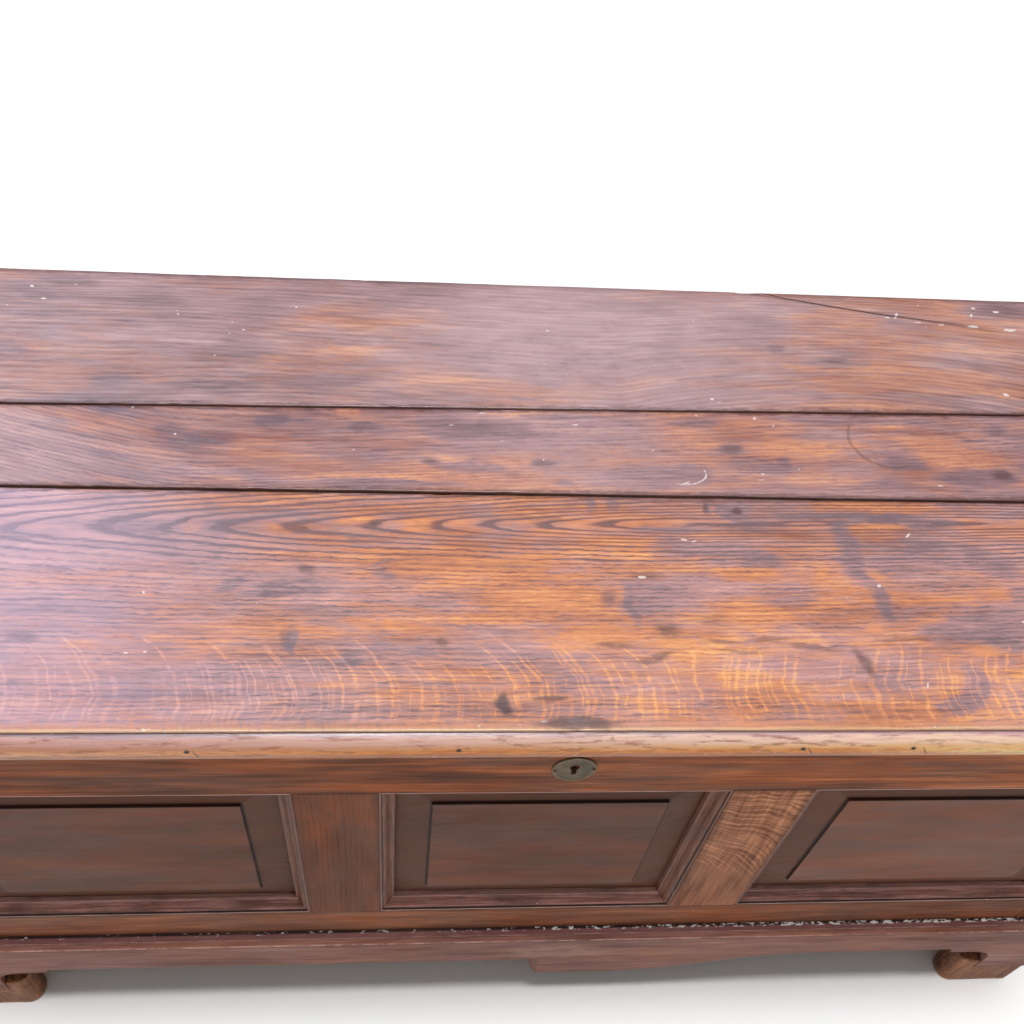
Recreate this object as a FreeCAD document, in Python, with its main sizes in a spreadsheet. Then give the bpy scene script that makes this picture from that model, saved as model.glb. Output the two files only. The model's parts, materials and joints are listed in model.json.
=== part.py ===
import FreeCAD, Part
import Sketcher
import math
import os
import re

# Oak panelled chest (coffer) with a lifting lid, three fielded panels to the front,
# a moulded plinth on bracket feet, two iron strap hinges and an iron chest lock.
# Frame of the model: +X to the right, +Y towards the back, +Z up, origin on the floor
# under the middle of the chest. Millimetres.

V = FreeCAD.Vector
doc = FreeCAD.newDocument("panelled_chest")
sheet = doc.addObject("Spreadsheet::Sheet", "dims")

DIMS = [
    ("front_face", -240.0, "Y of the front frame's face"),
    ("carcase_width", 1332.0, "outside of the posts, left to right"),
    ("carcase_depth", 490.0, "front face to back face"),
    ("carcase_bottom", 150.0, "underside of the posts and bottom rails"),
    ("carcase_top", 727.4, "top of the posts and top rails"),
    ("rail_thick", 30.0, "rails and muntins of front and ends"),
    ("post_depth", 60.0, "posts, front to back"),
    ("stile_face", 62.0, "front posts, seen from the front"),
    ("rear_post_face", 80.0, "rear posts, seen from the back"),
    ("muntin_face", 77.5, "front muntins"),
    ("panel_open", 325.6, "width of the middle front panel opening"),
    ("open_low", 280.3, "top edge of the bottom rails"),
    ("open_high", 600.6, "bottom edge of the top rails"),
    ("groove_front", 18.0, "panel groove, first face, behind the frame's face"),
    ("groove_back", 24.0, "panel groove, second face"),
    ("groove_deep", 10.0, "depth of the panel grooves"),
    ("tenon_front", 14.0, "tenon, first face, behind the frame's face"),
    ("tenon_long", 45.0, "tenons of the front rails"),
    ("side_tenon_long", 34.0, "tenons of the end rails"),
    ("tenon_short", 28.0, "tenons of the muntins"),
    ("field_face", 10.0, "panel field behind the frame's face"),
    ("field_step", 2.7, "step around the field"),
    ("field_margin", 49.5, "frame edge to the field"),
    ("strip_wide", 14.7, "planted moulding, frame edge to its inner arris"),
    ("back_rail_thick", 28.0, "rails and muntins of the back"),
    ("back_low", 250.0, "top edge of the back bottom rail"),
    ("back_high", 627.4, "bottom edge of the back top rail"),
    ("back_muntin", 70.0, "back muntin"),
    ("floor_under", 180.0, "underside of the floor boards"),
    ("floor_thick", 16.0, "floor boards"),
    ("ledger_size", 22.0, "ledgers under the floor, square"),
    ("plinth_out", 15.0, "plinth boards, thickness and how far they stand out"),
    ("plinth_top", 216.0, "top of the plinth"),
    ("plinth_ledge", 9.0, "flat ledge on the plinth"),
    ("plinth_hollow", 7.0, "height of the hollow under the ledge"),
    ("apron_low", 138.5, "bottom edge of the plinth between the feet"),
    ("apron_right", 141.0, "the same, right of the drop"),
    ("ear_step", 11.0, "small step where the ears begin"),
    ("ear_start", 551.0, "where the ears begin, from the middle"),
    ("ear_edge", 613.0, "inner edge of the ears, from the middle"),
    ("foot_high", 60.0, "height of the foot blocks"),
    ("foot_tip", 84.0, "height of the foot blocks at their rounded ends"),
    ("foot_thick", 38.0, "foot blocks, thickness of each arm"),
    ("foot_face", 76.5, "foot blocks, flat part of each arm"),
    ("drop_left", 20.0, "left end of the drop in the apron"),
    ("drop_low", 82.5, "lowest edge of the drop"),
    ("drop_flat", 107.0, "end of the drop's flat bottom"),
    ("drop_end", 382.0, "where the drop has run out"),
    ("lid_thick", 25.0, "lid boards"),
    ("lid_half", 690.0, "half the lid's length"),
    ("lid_out", 26.6, "lid beyond the front face"),
    ("lid_rear", 506.6, "rear edge of the lid, behind the front face"),
    ("lid_arris", 13.1, "width of the thumbnail moulding"),
    ("lid_step", 2.6, "fillet at the top of the thumbnail moulding"),
    ("lid_joint_one", 223.2, "rear edge of the front board"),
    ("gap_one", 2.2, "open joint behind the front board"),
    ("joint_two_left", 318.5, "rear edge of the middle board at its left end"),
    ("joint_two_right", 338.5, "rear edge of the middle board at its right end"),
    ("gap_two", 1.6, "open joint behind the middle board"),
    ("cleat_wide", 22.0, "cleats under the lid's ends"),
    ("cleat_deep", 30.0, "height of the cleats"),
    ("hinge_at", 420.0, "hinges, from the middle"),
    ("axis_back", 494.2, "hinge pins behind the front face"),
    ("axis_down", 4.2, "hinge pins below the lid"),
    ("iron_thick", 2.5, "iron of the hinges and hasp"),
    ("barrel_r", 3.9, "hinge barrels"),
    ("bore_r", 2.35, "bore of the hinge barrels"),
    ("pin_r", 2.3, "hinge pins"),
    ("strap_wide", 36.0, "strap at the barrel"),
    ("strap_end", 190.0, "end of the strap, behind the front face"),
    ("key_at", 7.6, "lock and escutcheon, from the middle"),
    ("key_high", 655.0, "centre of the keyhole's round part"),
    ("key_r", 4.4, "keyhole's round part"),
    ("key_slot", 4.6, "width of the keyhole's slot"),
    ("key_low", 643.0, "bottom of the keyhole's slot"),
    ("plate_wide", 110.0, "lock plate"),
    ("plate_low", 624.0, "bottom of the lock plate"),
    ("plate_high", 722.0, "top of the lock plate"),
    ("lock_iron", 2.0, "iron of the lock"),
    ("case_deep", 18.0, "lock case behind the plate"),
    ("bolt_low", 698.0, "underside of the bolt's head"),
    ("bolt_tall", 9.0, "height of the bolt's head"),
    ("bolt_thick", 5.5, "bolt's head, front to back"),
    ("bolt_throw", 12.0, "travel of the bolt"),
]
ALIASES = [d[0] for d in DIMS]
VALUE = {d[0]: d[1] for d in DIMS}
for i, (alias, value, note) in enumerate(DIMS):
    row = str(i + 1)
    sheet.set("A" + row, note)
    sheet.set("B" + row, str(value))
    sheet.setAlias("B" + row, alias)
doc.recompute()

WORD = re.compile(r"[a-z_]+")


def bound(text):
    """The expression with every alias written as a reference to the sheet."""
    return WORD.sub(lambda m: "dims." + m.group(0) if m.group(0) in VALUE else m.group(0), str(text))


def number(text):
    """The same expression as a plain number, for the starting position of sketch geometry."""
    return arithmetic(WORD.sub(lambda m: "(%r)" % VALUE[m.group(0)], str(text)))


def arithmetic(text):
    """A small reader for + - * / and brackets."""
    tokens = re.findall(r"\d+\.\d+(?:e-?\d+)?|\d+|[()+\-*/]", text)
    place = [0]

    def peek():
        return tokens[place[0]] if place[0] < len(tokens) else None

    def take():
        place[0] += 1
        return tokens[place[0] - 1]

    def factor():
        t = take()
        if t == "-":
            return -factor()
        if t == "+":
            return factor()
        if t == "(":
            v = expr()
            take()
            return v
        return float(t)

    def term():
        v = factor()
        while peek() in ("*", "/"):
            if take() == "*":
                v *= factor()
            else:
                v /= factor()
        return v

    def expr():
        v = term()
        while peek() in ("+", "-"):
            if take() == "+":
                v += term()
            else:
                v -= term()
        return v

    return expr()


def bind(obj, **props):
    for prop, text in props.items():
        obj.setExpression(prop.replace("__", "."), bound(text))
    return obj


def at(obj, x=0, y=0, z=0):
    """Binds the object's place to expressions. Y is counted from the front frame's face."""
    obj.setExpression("Placement.Base.x", bound(x))
    obj.setExpression("Placement.Base.y", bound("front_face + (%s)" % y))
    obj.setExpression("Placement.Base.z", bound(z))
    return obj


count = [0]


def new(kind, name):
    count[0] += 1
    return doc.addObject(kind, "%s_%d" % (name, count[0]))


def box(x0, x1, y0, y1, z0, z1, name="box"):
    o = new("Part::Box", name)
    bind(o, Length="(%s)-(%s)" % (x1, x0), Width="(%s)-(%s)" % (y1, y0), Height="(%s)-(%s)" % (z1, z0))
    return at(o, x0, y0, z0)


def local_box(x0, x1, y0, y1, z0, z1, name="box"):
    """As box, in a frame of its own: Y isn't counted from the front face."""
    o = new("Part::Box", name)
    bind(o, Length="(%s)-(%s)" % (x1, x0), Width="(%s)-(%s)" % (y1, y0), Height="(%s)-(%s)" % (z1, z0))
    o.setExpression("Placement.Base.x", bound(x0))
    o.setExpression("Placement.Base.y", bound(y0))
    o.setExpression("Placement.Base.z", bound(z0))
    return o


def rod(axis, radius, length, x, y, z, name="rod"):
    """A cylinder from (x, y, z) along +X, +Y or +Z."""
    o = new("Part::Cylinder", name)
    bind(o, Radius=radius, Height=length)
    turn = {"x": FreeCAD.Rotation(V(0, 1, 0), 90), "y": FreeCAD.Rotation(V(1, 0, 0), -90), "z": FreeCAD.Rotation()}[axis]
    o.Placement = FreeCAD.Placement(V(0, 0, 0), turn)
    return at(o, x, y, z)


def fuse(parts, name="fuse"):
    if len(parts) == 1:
        return parts[0]
    o = new("Part::MultiFuse", name)
    o.Shapes = parts
    o.Refine = True
    return o


def cut(base, tools, name="cut"):
    o = new("Part::Cut", name)
    o.Base = base
    o.Tool = fuse(tools, "tools") if len(tools) > 1 else tools[0]
    o.Refine = True
    return o


def mirrored(source, name="mirror"):
    """The same piece on the other side of the middle plane X = 0."""
    o = new("Part::Mirroring", name)
    o.Source = source
    o.Base = V(0, 0, 0)
    o.Normal = V(1, 0, 0)
    return o


def compound(parts, name="group"):
    o = new("Part::Compound", name)
    o.Links = parts
    return o


def plane_of(body, role):
    return [f for f in body.Origin.OriginFeatures if f.Role == role][0]


def outline(body, role, offset, loops):
    """A sketch on one of the body's origin planes, moved along its normal by offset.
    Each loop is a list of (u, v, arc): a vertex, and how the edge that leaves it bends:
    None for a line, or (radius, "ccw" or "cw")."""
    sk = body.newObject("Sketcher::SketchObject", "Sketch_%d" % count[0])
    count[0] += 1
    sk.AttachmentSupport = [(plane_of(body, role), "")]
    sk.MapMode = "FlatFace"
    sk.setExpression("AttachmentOffset.Base.z", bound(offset))
    for loop in loops:
        n = len(loop)
        pts = [(number(u), number(v)) for u, v, _ in loop]
        ends = []
        for i in range(n):
            (x0, y0), (x1, y1) = pts[i], pts[(i + 1) % n]
            arc = loop[i][2]
            if arc is None:
                g = sk.addGeometry(Part.LineSegment(V(x0, y0, 0), V(x1, y1, 0)), False)
                ends.append((g, 1, 2))
            else:
                r = number(arc[0])
                dx, dy = x1 - x0, y1 - y0
                d = math.hypot(dx, dy)
                h = math.sqrt(max(r * r - d * d / 4, 0))
                s = 1 if arc[1] == "ccw" else -1
                cx, cy = (x0 + x1) / 2 - s * dy / d * h, (y0 + y1) / 2 + s * dx / d * h
                a0, a1 = math.atan2(y0 - cy, x0 - cx), math.atan2(y1 - cy, x1 - cx)
                if s < 0:
                    a0, a1 = a1, a0
                while a1 < a0:
                    a1 += 2 * math.pi
                g = sk.addGeometry(Part.ArcOfCircle(Part.Circle(V(cx, cy, 0), V(0, 0, 1), r), a0, a1), False)
                ends.append((g, 1, 2) if s > 0 else (g, 2, 1))
        for i in range(n):
            a, b = ends[i], ends[(i + 1) % n]
            sk.addConstraint(Sketcher.Constraint("Coincident", a[0], a[2], b[0], b[1]))
        for i in range(n):
            g, start, _ = ends[i]
            for kind, value, text, axis in (("DistanceX", pts[i][0], loop[i][0], -2), ("DistanceY", pts[i][1], loop[i][1], -1)):
                if abs(value) < 1e-9:
                    sk.addConstraint(Sketcher.Constraint("PointOnObject", g, start, axis))
                else:
                    c = sk.addConstraint(Sketcher.Constraint(kind, -1, 1, g, start, value))
                    sk.setExpression("Constraints[%d]" % c, bound(text))
            if loop[i][2] is not None:
                half_turn = abs(math.hypot(pts[i][0] - pts[(i + 1) % n][0], pts[i][1] - pts[(i + 1) % n][1]) - 2 * number(loop[i][2][0])) < 1e-6
                if not half_turn:
                    c = sk.addConstraint(Sketcher.Constraint("Radius", g, number(loop[i][2][0])))
                    sk.setExpression("Constraints[%d]" % c, bound(loop[i][2][0]))
                else:
                    j = (i + 1) % n
                    if abs(pts[i][0] - pts[j][0]) < 1e-9:
                        sk.addConstraint(Sketcher.Constraint("Vertical", ends[i][0], 3, ends[i][0], 1))
                    else:
                        sk.addConstraint(Sketcher.Constraint("Horizontal", ends[i][0], 3, ends[i][0], 1))
    return sk


def body_of(name):
    b = new("PartDesign::Body", name)
    return b


def pad(body, sk, length, reverse=False):
    f = body.newObject("PartDesign::Pad", "Pad_%d" % count[0])
    count[0] += 1
    f.Profile = sk
    f.setExpression("Length", bound(length))
    f.Reversed = reverse
    doc.recompute()
    return f


def pocket(body, sk, length, reverse=False):
    before = body.Tip.Shape.Volume
    f = body.newObject("PartDesign::Pocket", "Pocket_%d" % count[0])
    count[0] += 1
    f.Profile = sk
    f.setExpression("Length", bound(length))
    f.Reversed = reverse
    doc.recompute()
    if not f.Shape.Volume < before - 1e-3:
        raise RuntimeError("pocket %s in %s cut nothing" % (f.Name, body.Name))
    return f


NODES = {}


def node(name, obj):
    obj.Label = name
    NODES[name] = obj
    return obj


F = "front_face"
HW = "carcase_width/2"
CD = "carcase_depth"
PO = "panel_open/2"
MO = "(panel_open/2 + muntin_face)"
SI = "(carcase_width/2 - stile_face)"

# ------------------------------------------------------------------ posts
# front right post: mortised for the front rails and the end rails, grooved for both panels
post = cut(
    box(SI, HW, "0", "post_depth", "carcase_bottom", "carcase_top", "post"),
    [
        box(SI, SI + " + tenon_long", "tenon_front", "groove_back", "open_high + 12", "carcase_top - 22"),
        box(SI, SI + " + tenon_long", "tenon_front", "groove_back", "carcase_bottom + 22", "open_low - 12"),
        box(SI, SI + " + groove_deep", "groove_front", "groove_back", "open_low - groove_deep", "open_high + groove_deep"),
        box(HW + " - groove_back", HW + " - tenon_front", "post_depth - side_tenon_long", "post_depth", "open_high + 12", "carcase_top - 22"),
        box(HW + " - groove_back", HW + " - tenon_front", "post_depth - side_tenon_long", "post_depth", "carcase_bottom + 22", "open_low - 12"),
        box(HW + " - groove_back", HW + " - groove_front", "post_depth - groove_deep", "post_depth", "open_low - groove_deep", "open_high + groove_deep"),
    ],
    "front_post",
)
node("front_right_post", post)
node("front_left_post", mirrored(post))

RI = "(carcase_width/2 - rear_post_face)"
BY0 = "(carcase_depth - back_rail_thick)"
rear = cut(
    box(RI, HW, CD + " - post_depth", CD, "carcase_bottom", "carcase_top", "post"),
    [
        box(RI, RI + " + 40", BY0 + " + 9", BY0 + " + 19", "back_high + 12", "carcase_top - 22"),
        box(RI, RI + " + 40", BY0 + " + 9", BY0 + " + 19", "carcase_bottom + 22", "back_low - 12"),
        box(RI, RI + " + groove_deep", BY0 + " + 9", BY0 + " + 19", "back_low - groove_deep", "back_high + groove_deep"),
        box(HW + " - groove_back", HW + " - tenon_front", CD + " - post_depth", CD + " - post_depth + side_tenon_long", "open_high + 12", "carcase_top - 22"),
        box(HW + " - groove_back", HW + " - tenon_front", CD + " - post_depth", CD + " - post_depth + side_tenon_long", "carcase_bottom + 22", "open_low - 12"),
        box(HW + " - groove_back", HW + " - groove_front", CD + " - post_depth", CD + " - post_depth + groove_deep", "open_low - groove_deep", "open_high + groove_deep"),
    ],
    "rear_post",
)
node("rear_right_post", rear)
node("rear_left_post", mirrored(rear))

# ------------------------------------------------------------------ front rails and muntins
# The keyhole passes through the top rail: a round hole with a slot below it.


def keyhole(y0, y1):
    return [
        rod("y", "key_r", "(%s)-(%s)" % (y1, y0), "key_at", y0, "key_high"),
        box("key_at - key_slot/2", "key_at + key_slot/2", y0, y1, "key_low", "key_high"),
    ]


top_rail = cut(
    fuse(
        [
            box("0 - " + SI, SI, "0", "rail_thick", "open_high", "carcase_top"),
            box("0 - " + SI + " - tenon_long", SI + " + tenon_long", "tenon_front", "groove_back", "open_high + 12", "carcase_top - 22"),
        ]
    ),
    [
        box("0 - " + SI, SI, "groove_front", "groove_back", "open_high", "open_high + groove_deep"),
        box(PO + " + 10", MO + " - 10", "tenon_front", "groove_back", "open_high", "open_high + tenon_short"),
        box("0 - " + MO + " + 10", "0 - " + PO + " - 10", "tenon_front", "groove_back", "open_high", "open_high + tenon_short"),
    ]
    + keyhole("-1", "rail_thick + 1"),
    "top_rail",
)
node("front_top_rail", top_rail)

bottom_rail = cut(
    fuse(
        [
            box("0 - " + SI, SI, "0", "rail_thick", "carcase_bottom", "open_low"),
            box("0 - " + SI + " - tenon_long", SI + " + tenon_long", "tenon_front", "groove_back", "carcase_bottom + 22", "open_low - 12"),
        ]
    ),
    [
        box("0 - " + SI, SI, "groove_front", "groove_back", "open_low - groove_deep", "open_low"),
        box(PO + " + 10", MO + " - 10", "tenon_front", "groove_back", "open_low - tenon_short", "open_low"),
        box("0 - " + MO + " + 10", "0 - " + PO + " - 10", "tenon_front", "groove_back", "open_low - tenon_short", "open_low"),
    ],
    "bottom_rail",
)
node("front_bottom_rail", bottom_rail)

muntin = cut(
    fuse(
        [
            box(PO, MO, "0", "rail_thick", "open_low", "open_high"),
            box(PO + " + 10", MO + " - 10", "tenon_front", "groove_back", "open_low - tenon_short", "open_high + tenon_short"),
        ]
    ),
    [
        box(PO, PO + " + groove_deep", "groove_front", "groove_back", "open_low", "open_high"),
        box(MO + " - groove_deep", MO, "groove_front", "groove_back", "open_low", "open_high"),
    ],
    "muntin",
)
node("front_right_muntin", muntin)
node("front_left_muntin", mirrored(muntin))

# ------------------------------------------------------------------ fielded panels and their planted mouldings
# Each panel has a tongue all round in the grooves, a bevel up to the field, and a small step.


def panel(width, height):
    w, h = "(%s)/2" % width, "(%s)/2" % height
    slab = local_box("0-%s - 9.5" % w, "%s + 9.5" % w, "groove_front", "groove_back", "0-%s - 9.5" % h, "%s + 9.5" % h)
    bevel = new("Part::Wedge", "bevel")
    bind(
        bevel,
        Ymin="field_face + field_step",
        Ymax="groove_front",
        X2min="0-%s + strip_wide" % w,
        X2max="%s - strip_wide" % w,
        Z2min="0-%s + strip_wide" % h,
        Z2max="%s - strip_wide" % h,
        Xmin="0-%s + field_margin" % w,
        Xmax="%s - field_margin" % w,
        Zmin="0-%s + field_margin" % h,
        Zmax="%s - field_margin" % h,
    )
    field = local_box("0-%s + field_margin" % w, "%s - field_margin" % w, "field_face", "field_face + field_step", "0-%s + field_margin" % h, "%s - field_margin" % h)
    return fuse([slab, bevel, field], "panel")


def strip(length):
    """A mitred length of moulding: X along it, Y into the panel, Z away from the frame's edge."""
    b = body_of("strip")
    sk = outline(
        b,
        "YZ_Plane",
        "0-(%s)/2" % length,
        [
            [
                ("groove_front", "0.0", None),
                ("groove_front", "strip_wide", None),
                ("12.0", "strip_wide", None),
                ("12.0", "strip_wide - 1.9", (7.0, "cw")),
                ("7.4", "8.4", (8.6, "ccw")),
                ("2.4", "2.7", None),
                ("0.7", "2.3", None),
                ("0.7", "0.0", None),
            ]
        ],
    )
    pad(b, sk, length)
    ends = outline(
        b,
        "XZ_Plane",
        "1.0",
        [
            [("0-(%s)/2 - 1" % length, "-1.0", None), ("0-(%s)/2 - 1" % length, "strip_wide + 1", None), ("0-(%s)/2 + strip_wide + 1" % length, "strip_wide + 1", None)],
            [("(%s)/2 + 1" % length, "-1.0", None), ("(%s)/2 - strip_wide - 1" % length, "strip_wide + 1", None), ("(%s)/2 + 1" % length, "strip_wide + 1", None)],
        ],
    )
    pocket(b, ends, "groove_front + 2")
    return b


OH = "(open_high - open_low)"
OZ = "((open_high + open_low)/2)"


def turned(obj, spin, about_y, x, y, z):
    """Places a piece made in the panel's frame: first turned about its own depth, then about Z."""
    obj.Placement = FreeCAD.Placement(V(0, 0, 0), FreeCAD.Rotation(V(0, 0, 1), spin) * FreeCAD.Rotation(V(0, 1, 0), about_y))
    return at(obj, x, y, z)


def panel_set(panel_name, strips_name, width, spin, x, y):
    """x and y are the middle of the opening, on the frame's face."""
    node(panel_name, turned(panel(width, OH), spin, 0, x, y, OZ))
    w = "(%s)/2" % width
    side = {0: (w, "0"), 90: ("0", w), -90: ("0", "0-" + w)}[spin]
    got = [
        turned(strip(width), spin, 0, x, y, "open_low"),
        turned(strip(width), spin, 180, x, y, "open_high"),
        turned(strip(OH), spin, 90, "(%s) - (%s)" % (x, side[0]), "(%s) - (%s)" % (y, side[1]), OZ),
        turned(strip(OH), spin, -90, "(%s) + (%s)" % (x, side[0]), "(%s) + (%s)" % (y, side[1]), OZ),
    ]
    node(strips_name, compound(got))


SIDE_OPEN = "(carcase_width/2 - stile_face - panel_open/2 - muntin_face)"
CX = "(panel_open/2 + muntin_face + " + SIDE_OPEN + "/2)"
EW = "(carcase_depth - 2*post_depth)"
panel_set("front_left_panel", "front_left_mouldings", SIDE_OPEN, 0, "0 - " + CX, "0")
panel_set("front_centre_panel", "front_centre_mouldings", "panel_open", 0, "0", "0")
panel_set("front_right_panel", "front_right_mouldings", SIDE_OPEN, 0, CX, "0")
panel_set("right_end_panel", "right_end_mouldings", EW, 90, HW, "carcase_depth/2")
panel_set("left_end_panel", "left_end_mouldings", EW, -90, "0 - " + HW, "carcase_depth/2")

# ------------------------------------------------------------------ end rails
P0, P1 = "post_depth", "(carcase_depth - post_depth)"
XI = "(carcase_width/2 - rail_thick)"


def end_rail(z0, z1, t0, t1, g0, g1):
    return cut(
        fuse(
            [
                box(XI, HW, P0, P1, z0, z1),
                box(HW + " - groove_back", HW + " - tenon_front", P0 + " - side_tenon_long", P1 + " + side_tenon_long", t0, t1),
            ]
        ),
        [box(HW + " - groove_back", HW + " - groove_front", P0, P1, g0, g1)],
        "end_rail",
    )


er = end_rail("open_high", "carcase_top", "open_high + 12", "carcase_top - 22", "open_high", "open_high + groove_deep")
node("right_end_top_rail", er)
node("left_end_top_rail", mirrored(er))
er = end_rail("carcase_bottom", "open_low", "carcase_bottom + 22", "open_low - 12", "open_low - groove_deep", "open_low")
node("right_end_bottom_rail", er)
node("left_end_bottom_rail", mirrored(er))

# ------------------------------------------------------------------ back
G0, G1 = BY0 + " + 9", BY0 + " + 19"
BM = "back_muntin/2"
notch = [
    box("hinge_at - strap_wide/2 - 0.6", "hinge_at + strap_wide/2 + 0.6", BY0 + " - 1", CD + " + 1", "carcase_top - 3", "carcase_top + 1"),
    box("0 - hinge_at - strap_wide/2 - 0.6", "0 - hinge_at + strap_wide/2 + 0.6", BY0 + " - 1", CD + " + 1", "carcase_top - 3", "carcase_top + 1"),
]
node(
    "back_top_rail",
    cut(
        fuse([box("0 - " + RI, RI, BY0, CD, "back_high", "carcase_top"), box("0 - " + RI + " - 40", RI + " + 40", G0, G1, "back_high + 12", "carcase_top - 22")]),
        [
            box("0 - " + RI, RI, G0, G1, "back_high", "back_high + groove_deep"),
            box("0 - " + BM + " + 10", BM + " - 10", G0, G1, "back_high", "back_high + tenon_short"),
        ]
        + notch,
        "back_top",
    ),
)
node(
    "back_bottom_rail",
    cut(
        fuse([box("0 - " + RI, RI, BY0, CD, "carcase_bottom", "back_low"), box("0 - " + RI + " - 40", RI + " + 40", G0, G1, "carcase_bottom + 22", "back_low - 12")]),
        [
            box("0 - " + RI, RI, G0, G1, "back_low - groove_deep", "back_low"),
            box("0 - " + BM + " + 10", BM + " - 10", G0, G1, "back_low - tenon_short", "back_low"),
        ],
        "back_bottom",
    ),
)
node(
    "back_muntin",
    cut(
        fuse([box("0 - " + BM, BM, BY0, CD, "back_low", "back_high"), box("0 - " + BM + " + 10", BM + " - 10", G0, G1, "back_low - tenon_short", "back_high + tenon_short")]),
        [box("0 - " + BM, "0 - " + BM + " + groove_deep", G0, G1, "back_low", "back_high"), box(BM + " - groove_deep", BM, G0, G1, "back_low", "back_high")],
        "back_muntin",
    ),
)
bp = box(BM + " - 9.5", RI + " + 9.5", G0, G1, "back_low - 9.5", "back_high + 9.5", "back_panel")
node("back_right_panel", bp)
node("back_left_panel", mirrored(bp))

# ------------------------------------------------------------------ floor
# Three boards along the chest on two ledgers; the outer two are notched round the posts.
FT = "floor_under + floor_thick"
BX = "(%s - 0.5)" % XI
W3 = "((%s - rail_thick)/3)" % BY0
edges = ["rail_thick", "rail_thick + " + W3, "rail_thick + 2*" + W3, BY0]
node(
    "floor_front_board",
    cut(
        box("0 - " + BX, BX, edges[0], edges[1] + " - 1", "floor_under", FT),
        [box(SI + " - 1", HW, "0", "post_depth + 1", "floor_under - 1", FT + " + 1"), box("0 - " + HW, "0 - " + SI + " + 1", "0", "post_depth + 1", "floor_under - 1", FT + " + 1")],
        "floor",
    ),
)
node("floor_middle_board", box("0 - " + BX, BX, edges[1], edges[2] + " - 1", "floor_under", FT, "floor"))
node(
    "floor_rear_board",
    cut(
        box("0 - " + BX, BX, edges[2], edges[3], "floor_under", FT),
        [box(RI + " - 1", HW, P1 + " - 1", CD, "floor_under - 1", FT + " + 1"), box("0 - " + HW, "0 - " + RI + " + 1", P1 + " - 1", CD, "floor_under - 1", FT + " + 1")],
        "floor",
    ),
)
node(
    "floor_ledgers",
    compound(
        [
            box("0 - " + SI + " + 1", SI + " - 1", "rail_thick", "rail_thick + ledger_size", "floor_under - ledger_size", "floor_under"),
            box("0 - " + RI + " + 1", RI + " - 1", BY0 + " - ledger_size", BY0, "floor_under - ledger_size", "floor_under"),
        ]
    ),
)

# ------------------------------------------------------------------ plinth
# Front board: level on the left, with a shaped drop right of the middle, and an ear over each foot.
POUT = "(%s + plinth_out)" % HW
b = body_of("plinth_front")
ear_r = [("ear_start", "apron_right", None), ("ear_start + 1.5", "apron_right - ear_step", None), ("ear_edge - 27", "apron_right - ear_step - 2", (27.0, "cw")), ("ear_edge", "apron_right - ear_step - 29", None), ("ear_edge", "foot_high", None)]
sk = outline(
    b,
    "XZ_Plane",
    "0-(front_face - plinth_out)",
    [
        [
            ("0-" + POUT, "plinth_top", None),
            ("0-" + POUT, "foot_high", None),
            ("0-ear_edge", "foot_high", None),
            ("0-ear_edge", "apron_low - ear_step - 29", (27.0, "cw")),
            ("0-ear_edge + 27", "apron_low - ear_step - 2", None),
            ("0-ear_start - 1.5", "apron_low - ear_step", None),
            ("0-ear_start", "apron_low", None),
            ("drop_left", "apron_low", None),
            ("drop_left", "drop_low + 12", (14.0, "ccw")),
            ("drop_left + 16", "drop_low", None),
            ("drop_flat", "drop_low", (337.8, "ccw")),
            ("(drop_flat + drop_end)/2", "(drop_low + apron_right)/2", (337.8, "cw")),
            ("drop_end", "apron_right", None),
        ]
        + ear_r
        + [(POUT, "foot_high", None), (POUT, "plinth_top", None)]
    ],
)
pad(b, sk, "plinth_out", True)
hollow = outline(
    b,
    "YZ_Plane",
    "0-%s - 5" % POUT,
    [
        [
            ("front_face - plinth_ledge", "plinth_top + 1", None),
            ("front_face - plinth_out - 1", "plinth_top + 1", None),
            ("front_face - plinth_out - 1", "plinth_top - plinth_hollow", None),
            ("front_face - plinth_out", "plinth_top - plinth_hollow", (6.6, "ccw")),
            ("front_face - plinth_ledge", "plinth_top - 1.2", None),
        ]
    ],
)
pocket(b, hollow, "2*%s + 10" % POUT, True)
mitre = outline(
    b,
    "XY_Plane",
    "0.0",
    [
        [(HW, "front_face", None), (POUT, "front_face - plinth_out", None), (POUT + " + 1", "front_face - plinth_out", None), (POUT + " + 1", "front_face", None)],
        [("0-" + HW, "front_face", None), ("0-" + POUT + " - 1", "front_face", None), ("0-" + POUT + " - 1", "front_face - plinth_out", None), ("0-" + POUT, "front_face - plinth_out", None)],
    ],
)
pocket(b, mitre, "plinth_top + 10", True)
# the free end of the drop is eased back at an angle
ease = outline(
    b,
    "XY_Plane",
    "0.0",
    [[("drop_left - 1", "front_face - plinth_out - 1", None), ("drop_left + 9", "front_face - plinth_out - 1", None), ("drop_left + 9", "front_face - plinth_out", None), ("drop_left - 1", "front_face - plinth_out + 8", None)]],
)
pocket(b, ease, "apron_low - 1", True)
node("front_plinth_board", b)

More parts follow.
